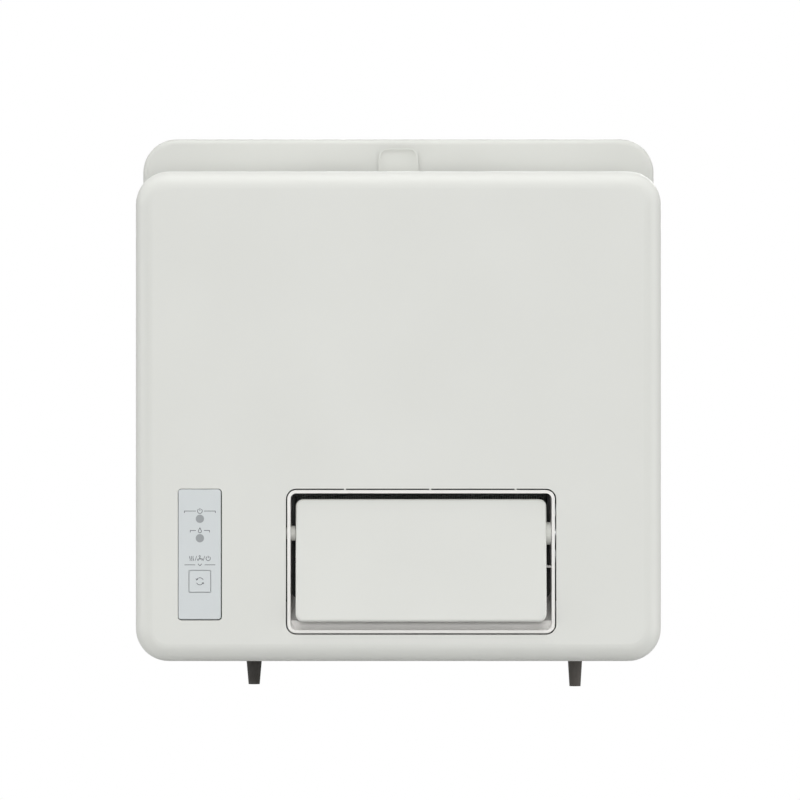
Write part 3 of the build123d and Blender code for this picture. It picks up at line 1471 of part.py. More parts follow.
# Power board in its tray, on the back wall beside the fan
box_x = (body_left + tongue_inset + tongue_wall + chamber_left - casing_wall) / 2
box_z = box_rise
board_plane_y = case_floor_y - box_wall - board_post_height
with BuildPart() as board_box:
    with BuildSketch(facing_room(case_floor_y)):
        with Locations((box_x, box_z)):
            RectangleRounded(box_width, box_height, 2 * box_wall)
    extrude(amount=box_depth)
    with BuildSketch(facing_room(case_floor_y - box_wall)):
        with Locations((box_x, box_z)):
            RectangleRounded(box_width - 2 * box_wall, box_height - 2 * box_wall, box_wall)
    extrude(amount=box_depth - box_wall, mode=Mode.SUBTRACT)
    with BuildSketch(facing_room(case_floor_y - box_wall)):
        with Locations((box_x, box_z)):
            with GridLocations(box_width - 2 * board_post_inset, box_height - 2 * board_post_inset, 2, 2):
                Circle(board_post_radius)
    extrude(amount=board_post_height)
board_box.part.label = "board_box"
export_step(board_box.part, "parts/board_box.step")

with BuildPart() as power_board:
    with BuildSketch(facing_room(board_plane_y)):
        with Locations((box_x, box_z)):
            Rectangle(
                box_width - 2 * (box_wall + board_clearance), box_height - 2 * (box_wall + board_clearance)
            )
    extrude(amount=board_thickness)
power_board.part.label = "power_board"
export_step(power_board.part, "parts/power_board.step")

with BuildPart() as board_parts:
    with BuildSketch(facing_room(board_plane_y - board_thickness)):
        with Locations((box_x - box_width / 5, box_z)):
            with GridLocations(1, relay_pitch, 1, relay_count):
                Rectangle(relay_width, relay_height)
    extrude(amount=relay_depth)
    with BuildSketch(facing_room(board_plane_y - board_thickness)):
        with Locations((box_x + box_width / 5, box_z)):
            with GridLocations(1, smoothing_pitch, 1, smoothing_count):
                Circle(smoothing_radius)
    extrude(amount=relay_depth)
board_parts.part.label = "board_parts"
export_step(board_parts.part, "parts/board_parts.step")

# Terminal block above the supply cord's boot
terminal_x = supply_boot_x
terminal_z = body_bottom + shell_wall + boot_flange + terminal_height
with BuildPart() as terminal_block:
    with BuildSketch(facing_room(case_floor_y)):
        with Locations((terminal_x, terminal_z + terminal_height / 2)):
            RectangleRounded(terminal_width, terminal_height, box_wall)
    extrude(amount=terminal_depth)
    with BuildSketch(facing_room(case_floor_y - terminal_depth)):
        with Locations((terminal_x, terminal_z + terminal_height / 2)):
            with GridLocations(terminal_width / 3, 1, 3, 1):
                Circle(terminal_hole_radius)
    extrude(amount=-terminal_hole_depth, mode=Mode.SUBTRACT)
terminal_block.part.label = "terminal_block"
export_step(terminal_block.part, "parts/terminal_block.step")

# Motor capacitor in the free space at the right of the fan
capacitor_x = (chamber_right + casing_wall - body_left - tongue_inset) / 2
with BuildPart() as run_capacitor:
    with BuildSketch(facing_room(case_floor_y)):
        with Locations((capacitor_x, box_rise)):
            RectangleRounded(capacitor_width, capacitor_height, 2 * box_wall)
    extrude(amount=capacitor_depth)
    fillet(run_capacitor.faces().sort_by(Axis.Y)[0].edges(), radius=box_wall)
run_capacitor.part.label = "run_capacitor"
export_step(run_capacitor.part, "parts/run_capacitor.step")
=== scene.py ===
import json
from math import cos, pi, radians, sin

import bmesh
import bpy
from mathutils import Matrix, Vector


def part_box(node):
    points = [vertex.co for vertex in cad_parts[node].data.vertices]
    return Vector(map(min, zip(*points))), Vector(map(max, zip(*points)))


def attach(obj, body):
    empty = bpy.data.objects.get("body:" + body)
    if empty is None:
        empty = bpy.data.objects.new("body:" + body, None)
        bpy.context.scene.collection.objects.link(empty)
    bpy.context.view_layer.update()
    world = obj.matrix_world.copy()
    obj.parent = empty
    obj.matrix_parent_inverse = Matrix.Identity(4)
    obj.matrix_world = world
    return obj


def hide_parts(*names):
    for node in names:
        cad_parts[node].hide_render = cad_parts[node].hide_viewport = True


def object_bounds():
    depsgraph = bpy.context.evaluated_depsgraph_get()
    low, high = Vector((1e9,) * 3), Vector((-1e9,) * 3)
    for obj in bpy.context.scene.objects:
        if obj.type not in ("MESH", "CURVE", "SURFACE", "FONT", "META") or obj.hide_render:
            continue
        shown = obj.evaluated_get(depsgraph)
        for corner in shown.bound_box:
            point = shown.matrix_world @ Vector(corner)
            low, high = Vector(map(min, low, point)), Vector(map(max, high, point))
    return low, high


# A window bathroom heater: a white housing on a square plate, with its outdoor hood behind.
# Metres, in the frame of the CAD part: X right, Y away from the room, Z up.

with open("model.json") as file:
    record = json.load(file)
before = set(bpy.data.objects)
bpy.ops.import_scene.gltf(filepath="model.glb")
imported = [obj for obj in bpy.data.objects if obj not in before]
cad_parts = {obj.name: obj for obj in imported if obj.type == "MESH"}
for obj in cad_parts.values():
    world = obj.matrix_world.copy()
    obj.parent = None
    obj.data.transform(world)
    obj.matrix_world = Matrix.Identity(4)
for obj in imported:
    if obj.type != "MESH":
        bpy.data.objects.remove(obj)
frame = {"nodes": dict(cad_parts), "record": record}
cad_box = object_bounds()
nodes = frame["nodes"]
MM = 0.001

front_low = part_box("front_cover")[0]
panel_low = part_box("control_panel")[0]
ring_low, ring_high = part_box("outlet_bezel")
key_low, key_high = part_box("mode_button")
lens_low, lens_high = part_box("indicator_lenses")
fins_low, fins_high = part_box("heater_fins")
bars_low, bars_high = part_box("heater_bars")
net_low, net_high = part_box("filter_mesh")

# Camera: a long lens square to the front, a little above the housing's middle
# PHOTO_SCALE is what one pixel of the photograph spans in the plane of the front
PHOTO_WIDTH_PX = 800
PHOTO_SCALE = 0.674 * MM
CAMERA_DISTANCE = 3.8
CAMERA_X = 1.08 * MM
CAMERA_Z = -4.4 * MM
SENSOR = 36.0


def add_camera():
    data = bpy.data.cameras.new("camera")
    data.sensor_width = SENSOR
    data.lens = SENSOR * CAMERA_DISTANCE / (PHOTO_WIDTH_PX * PHOTO_SCALE)
    data.clip_end = 50
    camera = bpy.data.objects.new("camera", data)
    camera.location = (CAMERA_X, front_low.y - CAMERA_DISTANCE, CAMERA_Z)
    camera.rotation_euler = (radians(90), 0, 0)
    bpy.context.scene.collection.objects.link(camera)
    bpy.context.scene.camera = camera


# Colours and shader nodes
def srgb(red, green, blue):
    """Linear colour of an 8-bit sRGB one."""
    def linear(value):
        share = value / 255
        return share / 12.92 if share <= 0.04045 else ((share + 0.055) / 1.055) ** 2.4
    return (linear(red), linear(green), linear(blue), 1.0)


def tone(colour, factor):
    """The same colour, darker or lighter by a factor."""
    return tuple(channel * factor for channel in colour[:3]) + (1.0,)


def new_material(name):
    """A material, its node tree and its shader."""
    material = bpy.data.materials.new(name)
    material.use_nodes = True
    tree = material.node_tree
    return material, tree, tree.nodes["Principled BSDF"]


def object_coordinates(tree):
    return tree.nodes.new("ShaderNodeTexCoord").outputs["Object"]


def add_noise(tree, coordinates, scale, detail=2.0, roughness=0.5):
    noise = tree.nodes.new("ShaderNodeTexNoise")
    noise.inputs["Scale"].default_value = scale
    noise.inputs["Detail"].default_value = detail
    noise.inputs["Roughness"].default_value = roughness
    tree.links.new(coordinates, noise.inputs["Vector"])
    return noise.outputs["Fac"]


def map_range(tree, value, low, high, from_low=0.3, from_high=0.7):
    """A value stretched to the range from low to high; its own range is that of a noise unless given."""
    ranged = tree.nodes.new("ShaderNodeMapRange")
    ranged.inputs["From Min"].default_value = from_low
    ranged.inputs["From Max"].default_value = from_high
    ranged.inputs["To Min"].default_value = low
    ranged.inputs["To Max"].default_value = high
    tree.links.new(value, ranged.inputs["Value"])
    return ranged.outputs["Result"]


def depth_share(tree, coordinates, start, end):
    """A value that goes from 0 to 1 as Y goes from start to end."""
    split = tree.nodes.new("ShaderNodeSeparateXYZ")
    tree.links.new(coordinates, split.inputs[0])
    return map_range(tree, split.outputs["Y"], 0.0, 1.0, start, end)


def mix_colours(tree, factor, first, second):
    """Mix of two colours, each of them a plain one or another node's output."""
    mix = tree.nodes.new("ShaderNodeMix")
    mix.data_type = "RGBA"
    for name, colour in (("A", first), ("B", second)):
        if isinstance(colour, bpy.types.NodeSocket):
            tree.links.new(colour, mix.inputs[name])
        else:
            mix.inputs[name].default_value = colour
    tree.links.new(factor, mix.inputs["Factor"])
    return mix.outputs["Result"]


def mix_shaders(tree, factor, first, second):
    mix = tree.nodes.new("ShaderNodeMixShader")
    tree.links.new(factor, mix.inputs["Fac"])
    tree.links.new(first, mix.inputs[1])
    tree.links.new(second, mix.inputs[2])
    return mix.outputs[0]


def vary_colour(tree, shader, factor, first, second):
    tree.links.new(mix_colours(tree, factor, first, second), shader.inputs["Base Color"])


def vary_roughness(tree, shader, noise, low, high):
    tree.links.new(map_range(tree, noise, low, high), shader.inputs["Roughness"])


def add_bump(tree, height, shader, distance):
    bump = tree.nodes.new("ShaderNodeBump")
    bump.inputs["Strength"].default_value = 1.0
    bump.inputs["Distance"].default_value = distance
    tree.links.new(height, bump.inputs["Height"])
    tree.links.new(bump.outputs["Normal"], shader.inputs["Normal"])


# Kinds of material
def moulded_plastic(name, colour, roughness=0.5, grain=0.012 * MM, grain_scale=2600, spread=0.012):
    """Injection-moulded plastic: faintly uneven colour and gloss, and fine spark-eroded grain."""
    material, tree, shader = new_material(name)
    place = object_coordinates(tree)
    broad = add_noise(tree, place, scale=14, detail=3)
    fine = add_noise(tree, place, scale=grain_scale, roughness=0.6)
    vary_colour(tree, shader, broad, tone(colour, 1 - spread), tone(colour, 1 + spread))
    vary_roughness(tree, shader, broad, roughness - 0.04, roughness + 0.04)
    add_bump(tree, fine, shader, grain)
    shader.inputs["Specular IOR Level"].default_value = 0.38
    return material


def duct_painted_light_inside(name, ring, inner, start, end):
    """Moulded plastic with hardly any gloss, which turns from the ring's colour to a paler inner one:
    painted light that brightens the shaded duct.
    """
    material = moulded_plastic(name, ring)
    tree = material.node_tree
    shader = tree.nodes["Principled BSDF"]
    depth = depth_share(tree, object_coordinates(tree), start, end)
    moulded = shader.inputs["Base Color"].links[0].from_socket
    vary_colour(tree, shader, depth, moulded, inner)
    shader.inputs["Specular IOR Level"].default_value = 0.05
    return material


def rubber(name, colour, roughness=0.7):
    """Matte moulded rubber with a slight bloom."""
    material, tree, shader = new_material(name)
    place = object_coordinates(tree)
    bloom = add_noise(tree, place, scale=180, detail=4, roughness=0.65)
    fine = add_noise(tree, place, scale=3800)
    vary_colour(tree, shader, bloom, tone(colour, 0.85), tone(colour, 1.25))
    vary_roughness(tree, shader, bloom, roughness - 0.08, roughness + 0.08)
    add_bump(tree, fine, shader, 0.02 * MM)
    return material


def foam(name, colour):
    """Closed-cell foam: small round cells."""
    material, tree, shader = new_material(name)
    cells = tree.nodes.new("ShaderNodeTexVoronoi")
    cells.inputs["Scale"].default_value = 1400
    tree.links.new(object_coordinates(tree), cells.inputs["Vector"])
    vary_colour(tree, shader, cells.outputs["Distance"], tone(colour, 0.6), tone(colour, 1.5))
    shader.inputs["Roughness"].default_value = 0.9
    add_bump(tree, cells.outputs["Distance"], shader, 0.15 * MM)
    return material


def plated_steel(name, colour, roughness=0.32):
    """Bright sheet metal with a cloudy spangle and fine rolling lines."""
    material, tree, shader = new_material(name)
    place = object_coordinates(tree)
    cloud = add_noise(tree, place, scale=90, detail=4, roughness=0.6)
    stretch = tree.nodes.new("ShaderNodeMapping")
    stretch.inputs["Scale"].default_value = (1, 1, 30)
    tree.links.new(place, stretch.inputs["Vector"])
    lines = add_noise(tree, stretch.outputs["Vector"], scale=220)
    vary_colour(tree, shader, cloud, tone(colour, 0.82), tone(colour, 1.12))
    vary_roughness(tree, shader, cloud, roughness - 0.08, roughness + 0.12)
    shader.inputs["Metallic"].default_value = 1.0
    add_bump(tree, lines, shader, 0.008 * MM)
    return material


def painted_metal(name, colour):
    """Powder coat with a fine orange-peel surface."""
    material, tree, shader = new_material(name)
    place = object_coordinates(tree)
    peel = add_noise(tree, place, scale=900, detail=3)
    broad = add_noise(tree, place, scale=20)
    vary_colour(tree, shader, broad, tone(colour, 0.97), tone(colour, 1.02))
    vary_roughness(tree, shader, peel, 0.34, 0.46)
    shader.inputs["Coat Weight"].default_value = 0.15
    add_bump(tree, peel, shader, 0.05 * MM)
    return material


def circuit_board(name):
    """Green solder mask over copper tracks that run in two directions."""
    material, tree, shader = new_material(name)
    tracks = tree.nodes.new("ShaderNodeTexBrick")
    tracks.inputs["Scale"].default_value = 220
    tracks.inputs["Mortar Size"].default_value = 0.08
    tracks.inputs["Color1"].default_value = srgb(28, 104, 58)
    tracks.inputs["Color2"].default_value = srgb(24, 92, 50)
    tracks.inputs["Mortar"].default_value = srgb(60, 140, 86)
    upright = tree.nodes.new("ShaderNodeMapping")
    upright.inputs["Rotation"].default_value = (radians(90), 0, 0)
    tree.links.new(object_coordinates(tree), upright.inputs["Vector"])
    tree.links.new(upright.outputs["Vector"], tracks.inputs["Vector"])
    tree.links.new(tracks.outputs["Color"], shader.inputs["Base Color"])
    shader.inputs["Roughness"].default_value = 0.35
    add_bump(tree, tracks.outputs["Fac"], shader, 0.03 * MM)
    return material


def fin_metal(name, edge, start, end):
    """Heater strip with a dull black coat and a paler cut edge at its front."""
    material, tree, shader = new_material(name)
    place = object_coordinates(tree)
    stain = add_noise(tree, place, scale=260, detail=4, roughness=0.6)
    coat = mix_colours(tree, stain, srgb(8, 8, 7), srgb(22, 21, 18))
    vary_colour(tree, shader, depth_share(tree, place, start, end), edge, coat)
    vary_roughness(tree, shader, stain, 0.7, 0.9)
    shader.inputs["Specular IOR Level"].default_value = 0.03
    add_bump(tree, stain, shader, 0.02 * MM)
    return material


def net_thread(name):
    """Woven nylon thread, a little translucent."""
    material, tree, shader = new_material(name)
    twist = add_noise(tree, object_coordinates(tree), scale=5200)
    vary_colour(tree, shader, twist, srgb(148, 152, 154), srgb(186, 190, 192))
    shader.inputs["Roughness"].default_value = 0.5
    shader.inputs["Transmission Weight"].default_value = 0.15
    add_bump(tree, twist, shader, 0.02 * MM)
    return material


def lens_plastic(name):
    """Grey indicator lens, unlit, with a frosted face."""
    material, tree, shader = new_material(name)
    frost = add_noise(tree, object_coordinates(tree), scale=2200, detail=3)
    vary_colour(tree, shader, frost, srgb(152, 156, 158), srgb(164, 168, 170))
    vary_roughness(tree, shader, frost, 0.55, 0.68)
    shader.inputs["Specular IOR Level"].default_value = 0.3
    add_bump(tree, frost, shader, 0.01 * MM)
    return material


def ink(name, colour):
    """Screen-printed ink: matte, with the slight unevenness of a print."""
    material, tree, shader = new_material(name)
    cover = add_noise(tree, object_coordinates(tree), scale=1800, detail=3)
    vary_colour(tree, shader, cover, tone(colour, 0.92), tone(colour, 1.1))
    shader.inputs["Roughness"].default_value = 0.55
    return material


# Depths between which a tone changes: the duct's painted light from the housing's front, the others from
# the fins' own
DUCT_PAINTED_LIGHT_START = 2 * MM
DUCT_PAINTED_LIGHT_END = 5 * MM
FIN_EDGE_START = 0.1 * MM
FIN_EDGE_END = 0.5 * MM
BAR_EDGE_END = 3 * MM

# Materials by the record's slots
materials = {
    "white_shell": moulded_plastic("white_shell", srgb(222, 223, 218)),
    # The duct's inside is paler than its ring: painted light in the shade under the flap
    "bezel_white": duct_painted_light_inside(
        "bezel_white",
        ring=srgb(244, 243, 239),
        inner=srgb(250, 248, 245),
        start=front_low.y + DUCT_PAINTED_LIGHT_START,
        end=front_low.y + DUCT_PAINTED_LIGHT_END,
    ),
    "flap_white": moulded_plastic("flap_white", srgb(220, 221, 216)),
    "panel_white": moulded_plastic(
        "panel_white", srgb(210, 215, 216), grain=0.006 * MM, grain_scale=3200, spread=0.006
    ),
    "lens_grey": lens_plastic("lens_grey"),
    "pale_plastic": moulded_plastic("pale_plastic", srgb(214, 213, 208), roughness=0.45),
    "boot_rubber": rubber("boot_rubber", srgb(58, 54, 50)),
    "gasket_foam": foam("gasket_foam", srgb(52, 52, 52)),
    "filter_fabric": net_thread("filter_fabric"),
    "fin_aluminium": fin_metal(
        "fin_aluminium",
        edge=srgb(140, 137, 130),
        start=fins_low.y + FIN_EDGE_START,
        end=fins_low.y + FIN_EDGE_END,
    ),
    "bar_aluminium": fin_metal(
        "bar_aluminium", edge=srgb(40, 38, 35), start=fins_low.y, end=fins_low.y + BAR_EDGE_END
    ),
    "heat_plastic": moulded_plastic("heat_plastic", srgb(24, 24, 24), roughness=0.55),
    "grey_plastic": moulded_plastic("grey_plastic", srgb(150, 152, 154)),
    "dark_plastic": moulded_plastic("dark_plastic", srgb(42, 42, 44), roughness=0.45),
    "motor_steel": plated_steel("motor_steel", srgb(150, 151, 152), roughness=0.38),
    "zinc_steel": plated_steel("zinc_steel", srgb(196, 197, 196)),
    "board_green": circuit_board("board_green"),
    "hood_paint": painted_metal("hood_paint", srgb(216, 216, 211)),
    "slat_aluminium": plated_steel("slat_aluminium", srgb(204, 205, 206), roughness=0.4),
}
print_ink = ink("print_grey", srgb(84, 87, 92))

# Nodes whose tone differs a little from the others of their slot: the plate and the tab are darker as
# painted shade, and the two boots are lit and shaded copies of one rubber
own_tones = {
    # Plate darker than the shell, and tab darker than the plate: painted shade
    "mounting_plate": moulded_plastic("plate_white_painted_shade", srgb(211, 212, 207)),
    "filter_frame": moulded_plastic("tab_white_painted_shade", srgb(205, 206, 201)),
    # One rubber for both boots: the supply boot darker as painted shade, the signal boot lighter as
    # painted light
    "supply_cord_boot": rubber("supply_rubber_painted_shade", srgb(36, 33, 29)),
    "signal_cord_boot": rubber("signal_rubber_painted_light", srgb(66, 62, 58)),
}

for part in frame["record"]["subparts"]:
    mesh = nodes[part["node"]].data
    mesh.materials.clear()
    mesh.materials.append(own_tones.get(part["node"], materials[part["material_slot"]]))


# Pieces
def finish_piece(build, name, body, slot, smooth_angle=None, material=None):
    """Turns a bmesh into a named object that rides on a body; its material is its slot's unless given."""
    bmesh.ops.recalc_face_normals(build, faces=build.faces)
    mesh = bpy.data.meshes.new(name)
    build.to_mesh(mesh)
    build.free()
    mesh.materials.append(material or materials[slot])
    piece = bpy.data.objects.new(name, mesh)
    bpy.context.scene.collection.objects.link(piece)
    if smooth_angle:
        for polygon in mesh.polygons:
            polygon.use_smooth = True
        mesh.set_sharp_from_angle(angle=radians(smooth_angle))
    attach(piece, body)
    return piece


def add_prism(build, outline, direction):
    """Closed prism from a flat outline of points, pushed along a direction."""
    near = [build.verts.new(point) for point in outline]
    far = [build.verts.new(Vector(point) + direction) for point in outline]
    build.faces.new(near)
    build.faces.new(far[::-1])
    for i in range(len(near)):
        j = (i + 1) % len(near)
        build.faces.new((near[i], far[i], far[j], near[j]))


# Heater: three strips folded back and forth, with round folds, and a bar under each
FIN_PITCH = 1.65 * MM
FIN_SHEET = 0.2 * MM
FOLD_STEPS = 4
FIN_ROWS = 3
BAR_ROUNDING = 0.5 * MM
BAR_ROUNDING_STEPS = 3

bar_height = bars_high.z - fins_high.z
strip_height = (fins_high.z - fins_low.z - (FIN_ROWS - 1) * bar_height) / FIN_ROWS


def fold_line(left, right, low, high):
    """Centre line of a folded strip between two bars: upright walls joined by half-round folds."""
    radius = FIN_PITCH / 2
    count = int((right - left - 2 * FIN_SHEET) / FIN_PITCH)
    start = (left + right - count * FIN_PITCH) / 2
    line = []
    for i in range(count + 1):
        x = start + i * FIN_PITCH
        up = i % 2 == 0
        line += [(x, low + radius if up else high - radius), (x, high - radius if up else low + radius)]
        if i == count:
            break
        centre_z = high - radius if up else low + radius
        for step in range(1, FOLD_STEPS):
            turn = pi * step / FOLD_STEPS
            rise = sin(turn) * (radius - FIN_SHEET / 2)
            line.append((x + radius - radius * cos(turn), centre_z + rise if up else centre_z - rise))
    return line


def folded_fins():
    """Three rows of folds; the top one runs up to the heater's frame, as no bar shows there."""
    build = bmesh.new()
    for row in range(FIN_ROWS):
        low = fins_low.z + row * (strip_height + bar_height)
        high = bars_high.z if row == FIN_ROWS - 1 else low + strip_height
        line = fold_line(fins_low.x, fins_high.x, low, high)
        near = [build.verts.new((x, fins_low.y, z)) for x, z in line]
        far = [build.verts.new((x, fins_high.y, z)) for x, z in line]
        for i in range(len(line) - 1):
            build.faces.new((near[i], near[i + 1], far[i + 1], far[i]))
    piece = finish_piece(build, "folded_fins", "root", "fin_aluminium", smooth_angle=40)
    thickness = piece.modifiers.new("sheet", "SOLIDIFY")
    thickness.thickness = FIN_SHEET
    thickness.offset = 0
    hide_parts("heater_fins")


def electrode_bars():
    """A bar with rounded edges under each row of fins."""
    build = bmesh.new()
    front, back = bars_low.y, bars_high.y
    for row in range(FIN_ROWS):
        low = bars_low.z + row * (strip_height + bar_height)
        high = low + bar_height
        outline = [(bars_low.x, y, z) for y, z in ((front, low), (back, low), (back, high), (front, high))]
        add_prism(build, outline, Vector((bars_high.x - bars_low.x, 0, 0)))
    piece = finish_piece(build, "electrode_bars", "root", "bar_aluminium", smooth_angle=40)
    edges = piece.modifiers.new("edges", "BEVEL")
    edges.width = BAR_ROUNDING
    edges.segments = BAR_ROUNDING_STEPS
    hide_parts("heater_bars")


# Duct cove: the floor's steeper rise just behind the bezel's ring, with its arc's ends in degrees
RING_WALL = 2.2 * MM
RING_DEPTH = 3.0 * MM
FLOOR_SLOPE = 20 / 45
COVE_START = 22
COVE_END = 56
COVE_RADIUS = 16.8 * MM
COVE_STEPS = 10
COVE_SUNK = 0.05 * MM
COVE_FOOT = 0.35 * MM


def duct_cove():
    """A concave arc of floor across the duct, which ends in a level step and has its foot in the floor."""
    left = ring_low.x + RING_WALL
    start_y = ring_low.y + RING_DEPTH
    start_z = ring_low.z + RING_WALL - COVE_SUNK
    outline = []
    for step in range(COVE_STEPS + 1):
        turn = radians(COVE_START + (COVE_END - COVE_START) * step / COVE_STEPS)
        y = start_y + COVE_RADIUS * (sin(turn) - sin(radians(COVE_START)))
        z = start_z + COVE_RADIUS * (cos(radians(COVE_START)) - cos(turn))
        outline.append((left, y, z))
    step_z = outline[-1][2]
    step_y = start_y + (step_z - start_z + COVE_FOOT) / FLOOR_SLOPE
    outline += [(left, step_y, step_z), (left, start_y, start_z - COVE_FOOT)]
    build = bmesh.new()
    add_prism(build, outline, Vector((ring_high.x - ring_low.x - 2 * RING_WALL, 0, 0)))
    finish_piece(build, "duct_cove", "root", "bezel_white", smooth_angle=30)


# Filter net: two layers of fine threads in the frame's recess
NET_PITCH = 1.6 * MM
NET_THREAD = 0.28 * MM
NET_THREAD_SIDES = 6


def filter_net():
    """Upright threads just in front of the net's middle, and level ones just behind it."""
    build = bmesh.new()
    middle = (net_low.y + net_high.y) / 2
    half = NET_THREAD / 2
    across = int((net_high.x - net_low.x) / NET_PITCH)
    upright = int((net_high.z - net_low.z) / NET_PITCH)

    def thread(start, end, sideways):
        """A six-sided thread between two points."""
        ring = []
        for step in range(NET_THREAD_SIDES):
            turn = 2 * pi * step / NET_THREAD_SIDES
            ring.append(start + sideways * (half * cos(turn)) + Vector((0, half * sin(turn), 0)))
        add_prism(build, ring, end - start)

    for i in range(across + 1):
        x = net_low.x + half + i * (net_high.x - net_low.x - NET_THREAD) / across
        y = middle - half / 2
        thread(Vector((x, y, net_low.z)), Vector((x, y, net_high.z)), Vector((1, 0, 0)))
    for i in range(upright + 1):
        z = net_low.z + half + i * (net_high.z - net_low.z - NET_THREAD) / upright
        y = middle + half / 2
        thread(Vector((net_low.x, y, z)), Vector((net_high.x, y, z)), Vector((0, 0, 1)))
    piece = finish_piece(build, "filter_net", "filter", "filter_fabric", smooth_angle=70)
    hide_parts("filter_mesh")


# Screws: pan heads with a cross recess where the CAD part has its plain ones
# Each cross is turned TWIST_STEP radians further than the last, and vertices within WELD count as one
HEAD_STEPS = 28
TWIST_STEP = 0.7
WELD = 0.001 * MM

# Shares of the head's radius: its height, the shank's radius and the arms of the cross
HEAD_SHARE = 2.4 / 3.8
LOW_HEAD_SHARE = 1.2 / 3.8
SHANK_SHARE = 2.0 / 3.8
CROSS_REACH = 0.56
CROSS_HALF = 0.13

# The head's outline from its seat up, in shares of its radius and height
HEAD_PROFILE = ((1.0, 0.0), (1.0, 0.42), (0.96, 0.62), (0.86, 0.82), (0.7, 0.95), (0.62, 1.0))

# The recess: its depth as a share of the head's height, and its floor as a share of its opening
CROSS_DEPTH = 0.55
CROSS_FLOOR = 0.7

# Shares of the shank's radius
THREAD_RISE = 0.45
THREAD_ROOT = 0.84
SHANK_TIP = 0.4


def islands(node):
    """Low and high corner of each loose piece of a CAD node."""
    build = bmesh.new()
    build.from_mesh(nodes[node].data)
    bmesh.ops.remove_doubles(build, verts=build.verts, dist=WELD)
    world = nodes[node].matrix_world
    left = set(build.verts)
    found = []
    while left:
        stack = [left.pop()]
        piece = []
        while stack:
            vert = stack.pop()
            piece.append(world @ vert.co)
            for edge in vert.link_edges:
                other = edge.other_vert(vert)
                if other in left:
                    left.remove(other)
                    stack.append(other)
        low = Vector(min(point[i] for point in piece) for i in range(3))
        high = Vector(max(point[i] for point in piece) for i in range(3))
        found.append((low, high))
    build.free()
    return sorted(found, key=lambda box: tuple(box[0]))


def add_ring(build, place, radius, height):
    """Circle of vertices round a place's Z axis, at a height over it."""
    turns = [2 * pi * i / HEAD_STEPS for i in range(HEAD_STEPS)]
    points = [Vector((radius * cos(turn), radius * sin(turn), height)) for turn in turns]
    return [build.verts.new(place @ point) for point in points]


def bridge(build, first, second):
    """Band of faces between two closed rings that have as many vertices as each other."""
    for i in range(len(first)):
        j = (i + 1) % len(first)
        build.faces.new((first[i], first[j], second[j], second[i]))


def add_head(build, place, seat_ring, head_radius, head_height, twist):
    """Pan head over the ring where the shank meets its seat, with a cross recess turned by a twist."""
    rings = [seat_ring]
    for radius, height in HEAD_PROFILE:
        rings.append(add_ring(build, place, radius * head_radius, height * head_height))
    for first, second in zip(rings, rings[1:]):
        bridge(build, first, second)
    reach, half = CROSS_REACH * head_radius, CROSS_HALF * head_radius
    cross = []
    for quarter in range(4):
        turn = Matrix.Rotation(quarter * pi / 2 + twist, 4, "Z")
        cross += [turn @ Vector((x, y, 0)) for x, y in ((reach, -half), (reach, half), (half, half))]
    brim = Vector((0, 0, head_height))
    floor = Vector((0, 0, head_height * (1 - CROSS_DEPTH)))
    top = [build.verts.new(place @ (point + brim)) for point in cross]
    bottom = [build.verts.new(place @ (point * CROSS_FLOOR + floor)) for point in cross]
    outer = [build.edges.get((rings[-1][i], rings[-1][(i + 1) % HEAD_STEPS])) for i in range(HEAD_STEPS)]
    inner = [build.edges.new((top[i], top[(i + 1) % len(top)])) for i in range(len(top))]
    bmesh.ops.triangle_fill(build, edges=outer + inner, use_beauty=True)
    bridge(build, top, bottom)
    build.faces.new(bottom)


def add_shank(build, place, seat_ring, shank_radius, length):
    """Threaded shank under the ring where it meets the head, down to a blunt tip."""
    pitch = THREAD_RISE * shank_radius
    turns = int((length - pitch) / pitch)
    ring = seat_ring
    depth = 0.0
    for i in range(turns):
        for radius in (THREAD_ROOT * shank_radius, shank_radius):
            depth += pitch / 2
            following = add_ring(build, place, radius, -depth)
            bridge(build, following, ring)
            ring = following
    tip = add_ring(build, place, SHANK_TIP * shank_radius, -length)
    bridge(build, tip, ring)
    build.faces.new(tip)


def cross_screws(node, direction, head_share=HEAD_SHARE):
    """Replaces a CAD node's plain screws; direction is where their heads point."""
    build = bmesh.new()
    axis = Vector(direction)
    along = max(range(3), key=lambda i: abs(axis[i]))
    across = [i for i in range(3) if i != along]
    for number, (low, high) in enumerate(islands(node)):
        head_radius = (high[across[0]] - low[across[0]]) / 2
        shank_radius = head_radius * SHANK_SHARE
        head_height = head_radius * head_share
        length = high[along] - low[along] - head_height
        seat = (low + high) / 2
        seat[along] = (high[along] - head_height) if axis[along] > 0 else (low[along] + head_height)
        turn = Vector((0, 0, 1)).rotation_difference(axis).to_matrix().to_4x4()
        place = Matrix.Translation(seat) @ turn
        seat_ring = add_ring(build, place, shank_radius, 0.0)
        add_head(build, place, seat_ring, head_radius, head_height, TWIST_STEP * number)
        add_shank(build, place, seat_ring, shank_radius, length)
    piece = finish_piece(build, node + "_cross", "root", "zinc_steel", smooth_angle=40)
    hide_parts(node)


# Print on the panel: plain signs in grey ink, one of them on the button, which moves with it
INK_LINE = 0.42 * MM
FINE_LINE = 0.8 * INK_LINE
INK_HEIGHT = 0.02 * MM
MITRE_LIMIT = 0.35


